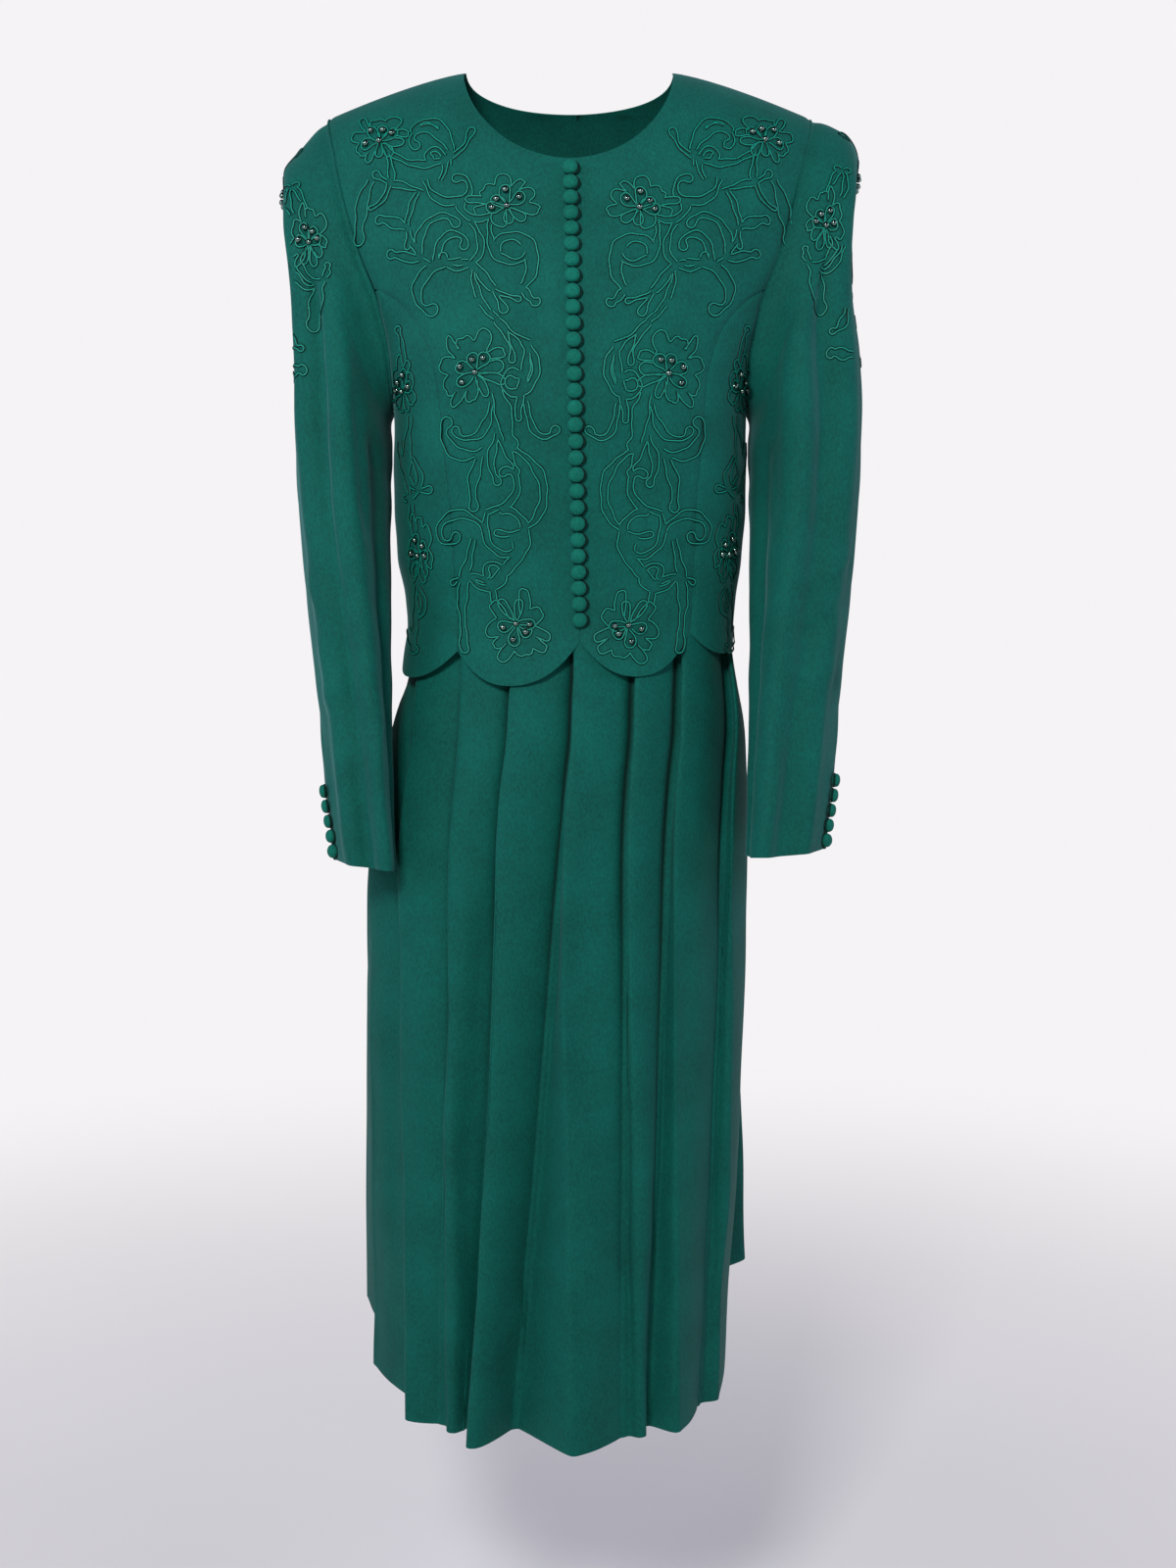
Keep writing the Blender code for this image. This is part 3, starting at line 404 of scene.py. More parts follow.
@dataclass(frozen=True)
class BodiceForm:
    """The bodice's outer surface, as its solids have it.

    An angle runs from 0 at the centre front to pi at the centre back, positive towards +X. A
    level is a drop below the shoulder ridge; a negative one lies behind the ridge.
    """

    ridge_height: float = 0.020
    neck_half_width: float = 0.085
    neck_drop_front: float = 0.0873
    neck_drop_back: float = 0.022
    shoulder_slope: float = 0.325
    shoulder_run: float = 0.113
    shoulder_rounding: float = 1.3
    slope_fades_out: float = 0.22
    tip_angle: float = math.radians(50.0)
    underarm: float = 0.275
    princess_top: float = 0.185
    opening_start: float = -0.001
    opening_drift: float = 0.0207
    level_steps: int = 12

    def surface(self, angle: Array, level: Array) -> Array:
        """Return surface points: each level is a superellipse, lowered towards the shoulder tips.

        Args:
            angle: turns round the figure.
            level: drops below the ridge.

        Returns:
            Points, one for each pair.
        """
        angle, level = np.broadcast_arrays(np.asarray(angle, float), np.asarray(level, float))
        over_ridge = level < 0.0
        side = np.where(angle >= 0.0, 1.0, -1.0)
        angle = np.where(over_ridge, side * (math.pi - np.abs(angle)), angle)
        level = np.abs(level)
        power = 2.0 / BODICE_TABLE("squareness", level)
        cosine = np.cos(angle)
        x = BODICE_TABLE("half_width", level) * signed_power(np.sin(angle), power)
        depth = np.where(cosine >= 0.0, -BODICE_TABLE("front", level), BODICE_TABLE("back", level))
        y = depth * np.abs(cosine) ** power
        return np.stack([x, y, self.height(x, level)], axis=-1)

    def height(self, x: Array, level: Array) -> Array:
        """Return z: the ridge less the level, less a slope times the reach past the neck."""
        slope = self.shoulder_slope * (1.0 - smooth_step(level / self.slope_fades_out))
        beyond = np.clip(np.abs(x) - self.neck_half_width, 0.0, None) / self.shoulder_run
        fall = slope * self.shoulder_run * beyond ** self.shoulder_rounding
        return self.ridge_height - level - fall

    def level_at(self, x: Array, z: Array) -> Array:
        """Return the level of the surface at x and z, by stepping off what height misses."""
        level = np.clip(self.ridge_height - z, 0.0, None)
        for _ in range(self.level_steps):
            level = np.clip(level + self.height(x, level) - z, 0.0, None)
        return level

    def normal(self, angle: Array, level: Array) -> Array:
        """Return outward normals: the cross product of the steps down and across."""
        turn = 0.001
        drop = 0.0005
        across = self.surface(angle + turn, level) - self.surface(angle - turn, level)
        down = self.surface(angle, level + drop) - self.surface(angle, level - drop)
        return unit(np.cross(down, across))

    def armhole(self, level: Array) -> Array:
        """Return the armhole's angle, a quarter oval from shoulder tip to underarm."""
        share = np.clip(np.asarray(level) / self.underarm, 0.0, 1.0)
        return math.pi / 2.0 - (math.pi / 2.0 - self.tip_angle) * np.sqrt(1.0 - share ** 2)

    def angle_of(self, x: Array, level: Array) -> Array:
        """Return the front angle whose surface point has the given x."""
        ratio = np.clip(np.abs(x) / BODICE_TABLE("half_width", level), 0.0, 1.0)
        return np.sign(x) * np.arcsin(ratio ** (BODICE_TABLE("squareness", level) / 2.0))

    def opening(self, level: Array) -> Array:
        """Return the x of the centre-front opening, a slightly slanted line."""
        return self.opening_start + self.opening_drift * np.asarray(level)

    def neckline(self, level: Array, drop: float) -> Array:
        """Return the neckline's half width, a quarter oval that closes at its drop."""
        share = np.clip(1.0 - (np.asarray(level) / drop) ** 2, 0.0, None)
        return self.neck_half_width * np.sqrt(share)

    def princess(self, side: Side, level: Array) -> Array:
        """Return the x of a princess seam, which drifts by half as much as the opening."""
        return side.value * PRINCESS_TABLE("across", level) + 0.5 * self.opening(level)

    def front_point(self, x: Array, z: Array) -> tuple[Array, Array]:
        """Return the front's surface points and normals at places seen from the front."""
        level = self.level_at(x, z)
        angle = self.angle_of(x, level)
        return self.surface(angle, level), self.normal(angle, level)


FORM = BodiceForm()


class Crease(NamedTuple):
    """A ridge, or with a negative height a hollow, along a line across the cloth, in metres."""

    path: Array
    width: float
    height: float


def creases(*rows: tuple[float, ...]) -> tuple[Crease, ...]:
    """Read creases from rows of millimetres: three places of a path, a width and a height."""
    return tuple(Crease(np.array(row[:6]).reshape(3, 2) / 1000.0, row[6] / 1000.0, row[7] / 1000.0)
                 for row in rows)


def crease_heights(places: Array, lines: Iterable[Crease]) -> Array:
    """Add up how far creases lift the cloth.

    Each lifts it by its height times a bell curve of the distance to its line over its width,
    and dies away smoothly over the first and last third of its length.

    Args:
        places: flat coordinates, shape (..., 2).
        lines: the ridges and hollows.

    Returns:
        Heights in metres, shape (...).
    """
    flat = places.reshape(-1, 2)
    rows = np.arange(len(flat))
    total = np.zeros(len(flat))
    for crease in lines:
        path = crease.path
        run = even_run(path)
        fine = np.linspace(0.0, run[-1], CREASE_STEPS)
        line = np.stack([smooth_curve(run, path[:, axis])(fine) for axis in (0, 1)], axis=1)
        starts = line[:-1]
        spans = np.diff(line, axis=0)
        lengths = np.maximum((spans ** 2).sum(axis=1), TINY)
        share = np.einsum("vsk,sk->vs", flat[:, None] - starts, spans) / lengths
        share = np.clip(share, 0.0, 1.0)
        away = np.linalg.norm(flat[:, None] - starts - share[..., None] * spans, axis=2)
        nearest = away.argmin(axis=1)
        along = (nearest + share[rows, nearest]) / len(spans)
        bell = np.exp(-(away[rows, nearest] / crease.width) ** 2)
        total += crease.height * bell * smooth_step(3.0 * along) * smooth_step(3.0 - 3.0 * along)
    return total.reshape(places.shape[:-1])


class Ripple(NamedTuple):
    """A faint wave of the cloth: its direction, length, start and height."""

    turn: float
    length: float
    phase: float
    height: float


def ripple_heights(places: Array, ripples: Iterable[Ripple]) -> Array:
    """Add up faint waves, each a sine of the place along its own, slowly bending direction.

    A wave bends by a quarter of its length, and is weakened in patches to a fifth of its height.
    """
    bend = 0.25
    mean, patches = 0.6, 0.4
    total = np.zeros(places.shape[:-1])
    for ripple in ripples:
        along = places[..., 0] * math.cos(ripple.turn) + places[..., 1] * math.sin(ripple.turn)
        beside = places[..., 1] * math.cos(ripple.turn) - places[..., 0] * math.sin(ripple.turn)
        bent = along + bend * ripple.length * np.sin(1.7 * beside / ripple.length + ripple.phase)
        patchy = mean + patches * np.sin(1.1 * beside / ripple.length + 2.3 * ripple.phase)
        wave = np.sin(2.0 * math.pi * bent / ripple.length + ripple.phase)
        total += ripple.height * wave * patchy
    return total


class Grid:
    """A net of outer points that is lifted off itself along its own normals."""

    def __init__(self, points: Array, closed: bool = False) -> None:
        """Keep the points, shape (rows, columns, 3); a closed net joins its last column on."""
        self.points = points
        self.closed = closed

    def normals(self, outward: Array) -> Array:
        """Return unit normals, turned to agree with outward directions."""
        if self.closed:
            across = np.roll(self.points, -1, axis=1) - np.roll(self.points, 1, axis=1)
        else:
            across = np.gradient(self.points, axis=1)
        found = unit(np.cross(across, np.gradient(self.points, axis=0)))
        return -found if (found * outward).sum() < 0.0 else found

    def lifted(self, heights: Array, normals: Array) -> "Grid":
        """Return the net with each point moved along its normal by its height."""
        return Grid(self.points + normals * heights[..., None], self.closed)

    def edge_distances(self) -> tuple[Array, Array]:
        """Return each point's distance along its row from the row's first and last point."""
        run = row_runs(self.points)
        return run, run[:, -1:] - run

    def faces(self) -> Array:
        """Return the four corners of every cell of the net."""
        rows, columns = self.points.shape[:2]
        spans = columns if self.closed else columns - 1
        row, column = np.meshgrid(np.arange(rows - 1), np.arange(spans), indexing="ij")
        here = (row * columns + column).ravel()
        beside = (row * columns + (column + 1) % columns).ravel()
        return np.stack([here, beside, beside + columns, here + columns], axis=1)


@dataclass(frozen=True)
class SheetCut:
    """The cut of one piece of cloth: the flat size of what shows, and its area."""

    width: float
    length: float
    area: float
    held: str


def face_crosses(points: Array, faces: Array) -> Array:
    """Return the cross product of each face's diagonals: its normal times twice its area."""
    return np.cross(points[faces[:, 2]] - points[faces[:, 0]],
                    points[faces[:, 3]] - points[faces[:, 1]])


def vertex_normals(points: Array, faces: Array) -> Array:
    """Return unit normals at points: the sum of the cross products of their faces' diagonals."""
    crosses = face_crosses(points, faces)
    total = np.zeros_like(points)
    for corner in range(faces.shape[1]):
        np.add.at(total, faces[:, corner], crosses)
    return unit(total)


def fill_mesh(name: str, points: Array, faces: Array,
              material: bpy.types.Material) -> bpy.types.Object:
    """Put points and four-cornered faces into a new object, smooth but for sharp edges.

    Args:
        name: the object's name.
        points: shape (count, 3).
        faces: shape (count, 4).
        material: its only material.

    Returns:
        The linked object.
    """
    mesh = bpy.data.meshes.new(name)
    mesh.vertices.add(len(points))
    mesh.vertices.foreach_set("co", np.ascontiguousarray(points, dtype=np.float32).ravel())
    mesh.loops.add(faces.size)
    mesh.loops.foreach_set("vertex_index", np.ascontiguousarray(faces, dtype=np.int32).ravel())
    mesh.polygons.add(len(faces))
    mesh.polygons.foreach_set(
        "loop_start", np.arange(0, faces.size, faces.shape[1], dtype=np.int32))
    mesh.update(calc_edges=True)
    mesh.validate()
    mesh.materials.append(material)
    mesh.shade_smooth()
    mesh.set_sharp_from_angle(angle=SHARP_TURN)
    piece = bpy.data.objects.new(name, mesh)
    bpy.context.scene.collection.objects.link(piece)
    return piece


def make_cloth(name: str, grids: list[Grid], outward: Array, thickness: float,
               material: bpy.types.Material, replaced: tuple[str, ...],
               slit_shades: Array | None = None) -> bpy.types.Object:
    """Make one piece of cloth: nets welded together, an inner face and closed edges.

    Args:
        name: the piece's name.
        grids: its nets, whose shared points fall together.
        outward: a direction for each point that is more outwards than inwards.
        thickness: the wall, laid inwards from the outer points along their normals.
        material: the cloth.
        replaced: the nodes that it stands for.
        slit_shades: how much painted shade each point gets, from 0 to 1, along the narrow gaps that
            folds leave.

    Returns:
        The piece, riding on the body.
    """
    offsets = np.cumsum([0] + [grid.points.shape[0] * grid.points.shape[1] for grid in grids])
    points = np.concatenate([grid.points.reshape(-1, 3) for grid in grids])
    faces = np.concatenate([grid.faces() + start for grid, start in zip(grids, offsets)])
    keys = np.round(points / WELD).astype(np.int64)
    _, first, same = np.unique(keys, axis=0, return_index=True, return_inverse=True)
    points = points[first]
    faces = same.reshape(-1)[faces]
    hints = outward.reshape(-1, 3)[first]
    normals = vertex_normals(points, faces)
    if (normals * hints).sum() < 0.0:
        faces = faces[:, ::-1]
        normals = -normals
    count = len(points)
    edges = np.stack([faces, np.roll(faces, -1, axis=1)], axis=2).reshape(-1, 2)
    edges = edges[edges[:, 0] != edges[:, 1]]
    forward = edges[:, 0] * count + edges[:, 1]
    backward = edges[:, 1] * count + edges[:, 0]
    border = edges[~np.isin(forward, backward)]
    rims = np.stack([border[:, 1], border[:, 0], border[:, 0] + count, border[:, 1] + count],
                    axis=1)
    shell = np.concatenate([points, points - normals * thickness])
    walls = np.concatenate([faces, faces[:, ::-1] + count, rims])
    piece = fill_mesh(name, shell, walls, material)
    # Each point's share of painted fold shade goes on both faces of the cloth.
    if slit_shades is not None:
        painted_slit_shade = piece.data.attributes.new("slit_shade", "FLOAT", "POINT")
        painted_slit_shade.data.foreach_set(
            "value", np.tile(slit_shades.reshape(-1)[first], 2).astype(np.float32))
    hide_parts(*replaced)
    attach(piece, "root")
    area = 0.5 * np.linalg.norm(face_crosses(points, faces), axis=1).sum()
    log.info("%s: %d faces, %.4f square metres", name, len(walls), area)
    return piece


class PanelKind(Enum):
    """The cut pieces of the bodice."""

    CENTRE = "front_centre"
    FLANK = "front_side"
    BACK = "back_bodice"


@dataclass
class Bodice:
    """Two centre fronts, two side fronts and the back, with their scalloped hem."""

    crepe: bpy.types.Material
    wall: float = 0.0013
    flap_level: float = 0.43
    notch_height: float = -0.4450
    hem_tilt: float = 0.078
    centre_hang: float = 0.031
    side_hang: float = 0.019
    roundness: float = 2.2
    seam_sink: float = 0.0011
    seam_reach: float = 0.0030
    edge_fade: float = 0.02
    hem_sink: float = 0.0007
    hem_turn: float = 0.25
    rows: int = 66
    neck_rows: int = 26
    lower_rows: int = 76
    flap_rows: int = 12
    samples: int = 161
    back_share: float = 0.6
    columns: dict[PanelKind, int] = field(default_factory=lambda: {
        PanelKind.CENTRE: 66, PanelKind.FLANK: 40, PanelKind.BACK: 90})
    cuts: dict[PanelKind, SheetCut] = field(default_factory=lambda: {
        PanelKind.CENTRE: SheetCut(0.215, 0.500, 0.0645, "hung"),
        PanelKind.FLANK: SheetCut(0.110, 0.300, 0.0235, "hung"),
        PanelKind.BACK: SheetCut(0.470, 0.500, 0.1780, "hung")})
    front_creases: tuple[Crease, ...] = creases(
        (-98, -205, -85, -262, -75, -330, 10.0, 1.3), (-62, -150, -50, -215, -46, -300, 13.0, 1.2),
        (-30, -115, -22, -200, -26, -290, 11.0, -1.1), (24, -140, 31, -235, 28, -330, 12.0, 1.2),
        (58, -165, 49, -240, 52, -345, 13.0, -1.2), (104, -215, 88, -275, 80, -350, 9.5, 1.2),
        (-112, -345, -70, -362, -26, -356, 7.5, 1.3), (-104, -372, -60, -386, -14, -379, 7.0, -1.2),
        (14, -352, 60, -367, 110, -352, 8.0, 1.2), (26, -392, 72, -398, 112, -384, 6.5, -1.1),
        (-172, -20, -150, -70, -126, -112, 9.5, 1.4), (-186, -60, -160, -120, -122, -170, 8.5, -1.3),
        (-158, -165, -128, -205, -100, -226, 7.5, 1.4), (176, -18, 156, -68, 135, -118, 9.0, 1.4),
        (190, -62, 158, -118, 128, -176, 9.0, -1.4), (160, -170, 134, -208, 104, -236, 7.0, 1.3),
        (-90, -2, -72, -52, -44, -86, 7.0, -0.8), (92, -2, 76, -48, 46, -82, 7.0, -0.8))
    back_creases: tuple[Crease, ...] = creases(
        (-150, -40, -110, -105, -85, -190, 12.0, 1.6), (145, -45, 118, -110, 80, -180, 13.0, 1.5),
        (-60, -90, -45, -190, -50, -300, 14.0, -1.5), (38, -80, 52, -170, 44, -285, 13.0, -1.4),
        (-115, -310, -60, -340, 10, -332, 8.5, 1.7), (-30, -358, 50, -372, 118, -350, 8.0, 1.6),
        (-110, -380, -52, -396, -10, -390, 7.0, -1.4), (118, -295, 72, -318, 24, -312, 7.5, 1.3),
        (-128, -225, -98, -285, -92, -350, 10.0, 1.4), (120, -235, 102, -290, 98, -362, 9.0, -1.4))
    ripples: tuple[Ripple, ...] = (
        Ripple(1.25, 0.083, 0.4, 0.00042), Ripple(0.35, 0.057, 1.9, 0.00028),
        Ripple(2.10, 0.041, 2.7, 0.00022), Ripple(1.70, 0.125, 4.1, 0.00050))

    def relief(self, points: Array, front: bool) -> Array:
        """Return the height of creases and ripples at points seen from the front or the back."""
        places = np.ascontiguousarray(points[..., (0, 2)])
        lines = self.front_creases if front else self.back_creases
        return crease_heights(places, lines) + ripple_heights(places, self.ripples)

    def front_surface(self, x: Array, z: Array) -> tuple[Array, Array]:
        """Return points and normals of the creased front at places seen from the front."""
        points, normals = FORM.front_point(x, z)
        return points + normals * self.relief(points, True)[..., None], normals

    def levels(self, top: float, bottom: float, drop: float) -> Array:
        """Return levels from top to bottom, crowded where the neckline turns flat at its drop."""
        if top > drop:
            return np.linspace(top, bottom, self.rows)
        rounding = drop * np.sin(np.linspace(0.0, math.pi / 2.0, self.neck_rows))
        below = np.linspace(drop, bottom, self.lower_rows)[1:]
        return np.concatenate([rounding, below])

    def bounds(self, kind: PanelKind, side: Side, level: Array) -> tuple[Array, Array]:
        """Return the angles that each level of a panel runs between, inner edge first."""
        sign = side.value
        if kind is PanelKind.BACK:
            neck = FORM.neckline(level, FORM.neck_drop_back)
            return (sign * (math.pi - np.abs(FORM.angle_of(neck, level))),
                    sign * (math.pi - FORM.armhole(level)))
        princess = FORM.princess(side, level)
        if kind is PanelKind.FLANK:
            return (FORM.angle_of(princess + sign * 0.5 * SEAM_GAP, level),
                    sign * FORM.armhole(level))
        neck = FORM.neckline(level, FORM.neck_drop_front)
        inner = FORM.opening(level) + sign * (0.5 * SEAM_GAP + neck)
        outer = np.where(level < FORM.princess_top, sign * FORM.armhole(level),
                         FORM.angle_of(princess - sign * 0.5 * SEAM_GAP, level))
        return FORM.angle_of(inner, level), outer

    def even_rows(self, first: Array, last: Array, level: Array, count: int) -> Array:
        """Return count + 1 angles for each level, evenly spaced along the cloth."""
        share = np.linspace(0.0, 1.0, self.samples)
        fine = first[:, None] + (last - first)[:, None] * share
        run = row_runs(FORM.surface(fine, level[:, None]))
        wanted = np.linspace(0.0, 1.0, count + 1)
        return np.array([np.interp(wanted * length[-1], length, angles)
                         for length, angles in zip(run, fine)])

    def scallops(self, kind: PanelKind, share: Array) -> Array:
        """Return how far the hem hangs below its notches: one minus a power of the offset."""
        parts = {PanelKind.CENTRE: ((1.0, self.centre_hang),),
                 PanelKind.FLANK: ((1.0, self.side_hang),),
                 PanelKind.BACK: ((self.back_share, self.centre_hang),
                                  (1.0 - self.back_share, self.side_hang))}[kind]
        hang = np.zeros_like(share)
        start = 0.0
        for width, depth in parts:
            local = np.clip((share - start) / width, 0.0, 1.0)
            covered = (share >= start - TINY) & (share <= start + width + TINY)
            curve = depth * (1.0 - np.abs(2.0 * local - 1.0) ** self.roundness)
            hang = np.where(covered, curve, hang)
            start += width
        return hang

    def panel(self, kind: PanelKind, side: Side) -> tuple[Grid, Array]:
        """Return a panel's creased net and its outward directions.

        Rows follow levels down to the flap, then fan out to the scalloped hem.
        """
        back = kind is PanelKind.BACK
        count = self.columns[kind]
        drop = FORM.neck_drop_back if back else FORM.neck_drop_front
        top = FORM.princess_top if kind is PanelKind.FLANK else 0.0
        level = self.levels(top, self.flap_level, drop)
        angle = self.even_rows(*self.bounds(kind, side, level), level, count)
        depth = np.repeat(level[:, None], count + 1, axis=1)
        share = np.linspace(0.0, 1.0, count + 1)
        mean_hem = FORM.ridge_height - self.notch_height
        steps = np.linspace(0.0, 1.0, self.flap_rows + 1)[1:]
        nominal = self.flap_level + (mean_hem - self.flap_level) * steps
        flap = self.even_rows(*self.bounds(kind, side, nominal), nominal, count)
        x = FORM.surface(flap, nominal[:, None])[..., 0]
        hem = mean_hem - self.hem_tilt * x + self.scallops(kind, share)
        lower = self.flap_level + (hem - self.flap_level) * steps[:, None]
        angle = np.concatenate([angle, flap])
        depth = np.concatenate([depth, lower])
        points = FORM.surface(angle, depth)
        points[..., 1] += 0.5 * SEAM_GAP if back else -0.5 * SEAM_GAP
        normals = FORM.normal(angle, depth)
        grid = Grid(points)
        from_inner, from_outer = grid.edge_distances()
        height = self.relief(points, not back)
        sewn = np.exp(-(from_outer / self.seam_reach) ** 2)
        if kind is PanelKind.FLANK:
            sewn = sewn + np.exp(-(from_inner / self.seam_reach) ** 2)
        height = height * smooth_step(depth / self.edge_fade) - self.seam_sink * sewn
        turned = np.clip(1.0 - (1.0 - steps[:, None]) / self.hem_turn, 0.0, 1.0) ** 2
        height[-len(steps):] -= self.hem_sink * turned
        return grid.lifted(height, normals), normals

    def build(self) -> None:
        """Build the five pieces."""
        for side in Side:
            for kind in (PanelKind.CENTRE, PanelKind.FLANK):
                grid, normals = self.panel(kind, side)
                node = f"{kind.value}_{side.word}"
                make_cloth(f"{node}_cloth", [grid], normals, self.wall, self.crepe,
                           (node,))
        grids = []
        outward = []
        for side in Side:
            grid, normals = self.panel(PanelKind.BACK, side)
            order = int(side.value)
            grids.append(Grid(grid.points[:, ::order]))
            outward.append(normals[:, ::order].reshape(-1, 3))
        make_cloth("back_bodice_cloth", grids, np.concatenate(outward), self.wall, self.crepe,
                   ("back_bodice",))


# Both sleeves' depth, forward hang and twist, from the cap to the cuff.
SLEEVE_TABLE = (
    (0.058, 0.000, 0.00), (0.061, 0.000, 0.00), (0.064, 0.001, 0.00), (0.066, 0.002, 0.00),
    (0.067, 0.004, 0.00), (0.067, 0.006, 0.00), (0.066, 0.008, 0.00), (0.064, 0.010, 0.02),
    (0.062, 0.013, 0.05), (0.060, 0.017, 0.08), (0.057, 0.024, 0.12), (0.053, 0.031, 0.17),
    (0.049, 0.040, 0.22), (0.045, 0.050, 0.28), (0.041, 0.060, 0.34), (0.038, 0.069, 0.40))
# Each sleeve's outer x and z and inner x and z, in the same rows.
LEFT_SLEEVE_EDGES = (
    (0.1980, -0.0170, 0.1465, -0.2550), (0.2120, -0.0310, 0.1480, -0.2590),
    (0.2240, -0.0460, 0.1488, -0.2640), (0.2345, -0.0630, 0.1490, -0.2700),
    (0.2335, -0.0900, 0.1490, -0.2780), (0.2295, -0.1240, 0.1490, -0.2890),
    (0.2270, -0.1640, 0.1490, -0.3030), (0.2260, -0.2080, 0.1490, -0.3200),
    (0.2275, -0.2560, 0.1490, -0.3420), (0.2260, -0.3060, 0.1488, -0.3700),
    (0.2220, -0.3560, 0.1482, -0.4030), (0.2170, -0.4080, 0.1474, -0.4420),
    (0.2105, -0.4620, 0.1464, -0.4850), (0.2030, -0.5150, 0.1452, -0.5290),
    (0.1975, -0.5680, 0.1438, -0.5760), (0.1905, -0.6220, 0.1420, -0.6280))
RIGHT_SLEEVE_EDGES = (
    (0.1980, -0.0170, 0.1465, -0.2550), (0.2150, -0.0230, 0.1480, -0.2590),
    (0.2290, -0.0330, 0.1488, -0.2640), (0.2365, -0.0530, 0.1490, -0.2700),
    (0.2325, -0.0840, 0.1490, -0.2780), (0.2310, -0.1190, 0.1490, -0.2890),
    (0.2325, -0.1600, 0.1490, -0.3030), (0.2385, -0.2060, 0.1490, -0.3200),
    (0.2415, -0.2560, 0.1490, -0.3420), (0.2400, -0.3080, 0.1490, -0.3700),
    (0.2360, -0.3600, 0.1488, -0.4030), (0.2310, -0.4120, 0.1482, -0.4420),
    (0.2245, -0.4640, 0.1474, -0.4850), (0.2185, -0.5130, 0.1464, -0.5270),
    (0.2135, -0.5620, 0.1450, -0.5690), (0.2070, -0.6130, 0.1440, -0.6170))
SLEEVE_FOLDS = (
    (0.120, 0.035, 0.0040, 0.10, 0.95), (0.205, 0.042, -0.0065, 0.05, 0.97),
    (0.290, 0.045, 0.0060, 0.05, 0.97), (0.410, 0.036, -0.0075, 0.30, 0.95),
    (0.720, 0.050, -0.0045, 0.20, 0.90), (0.860, 0.040, 0.0040, 0.12, 0.85))


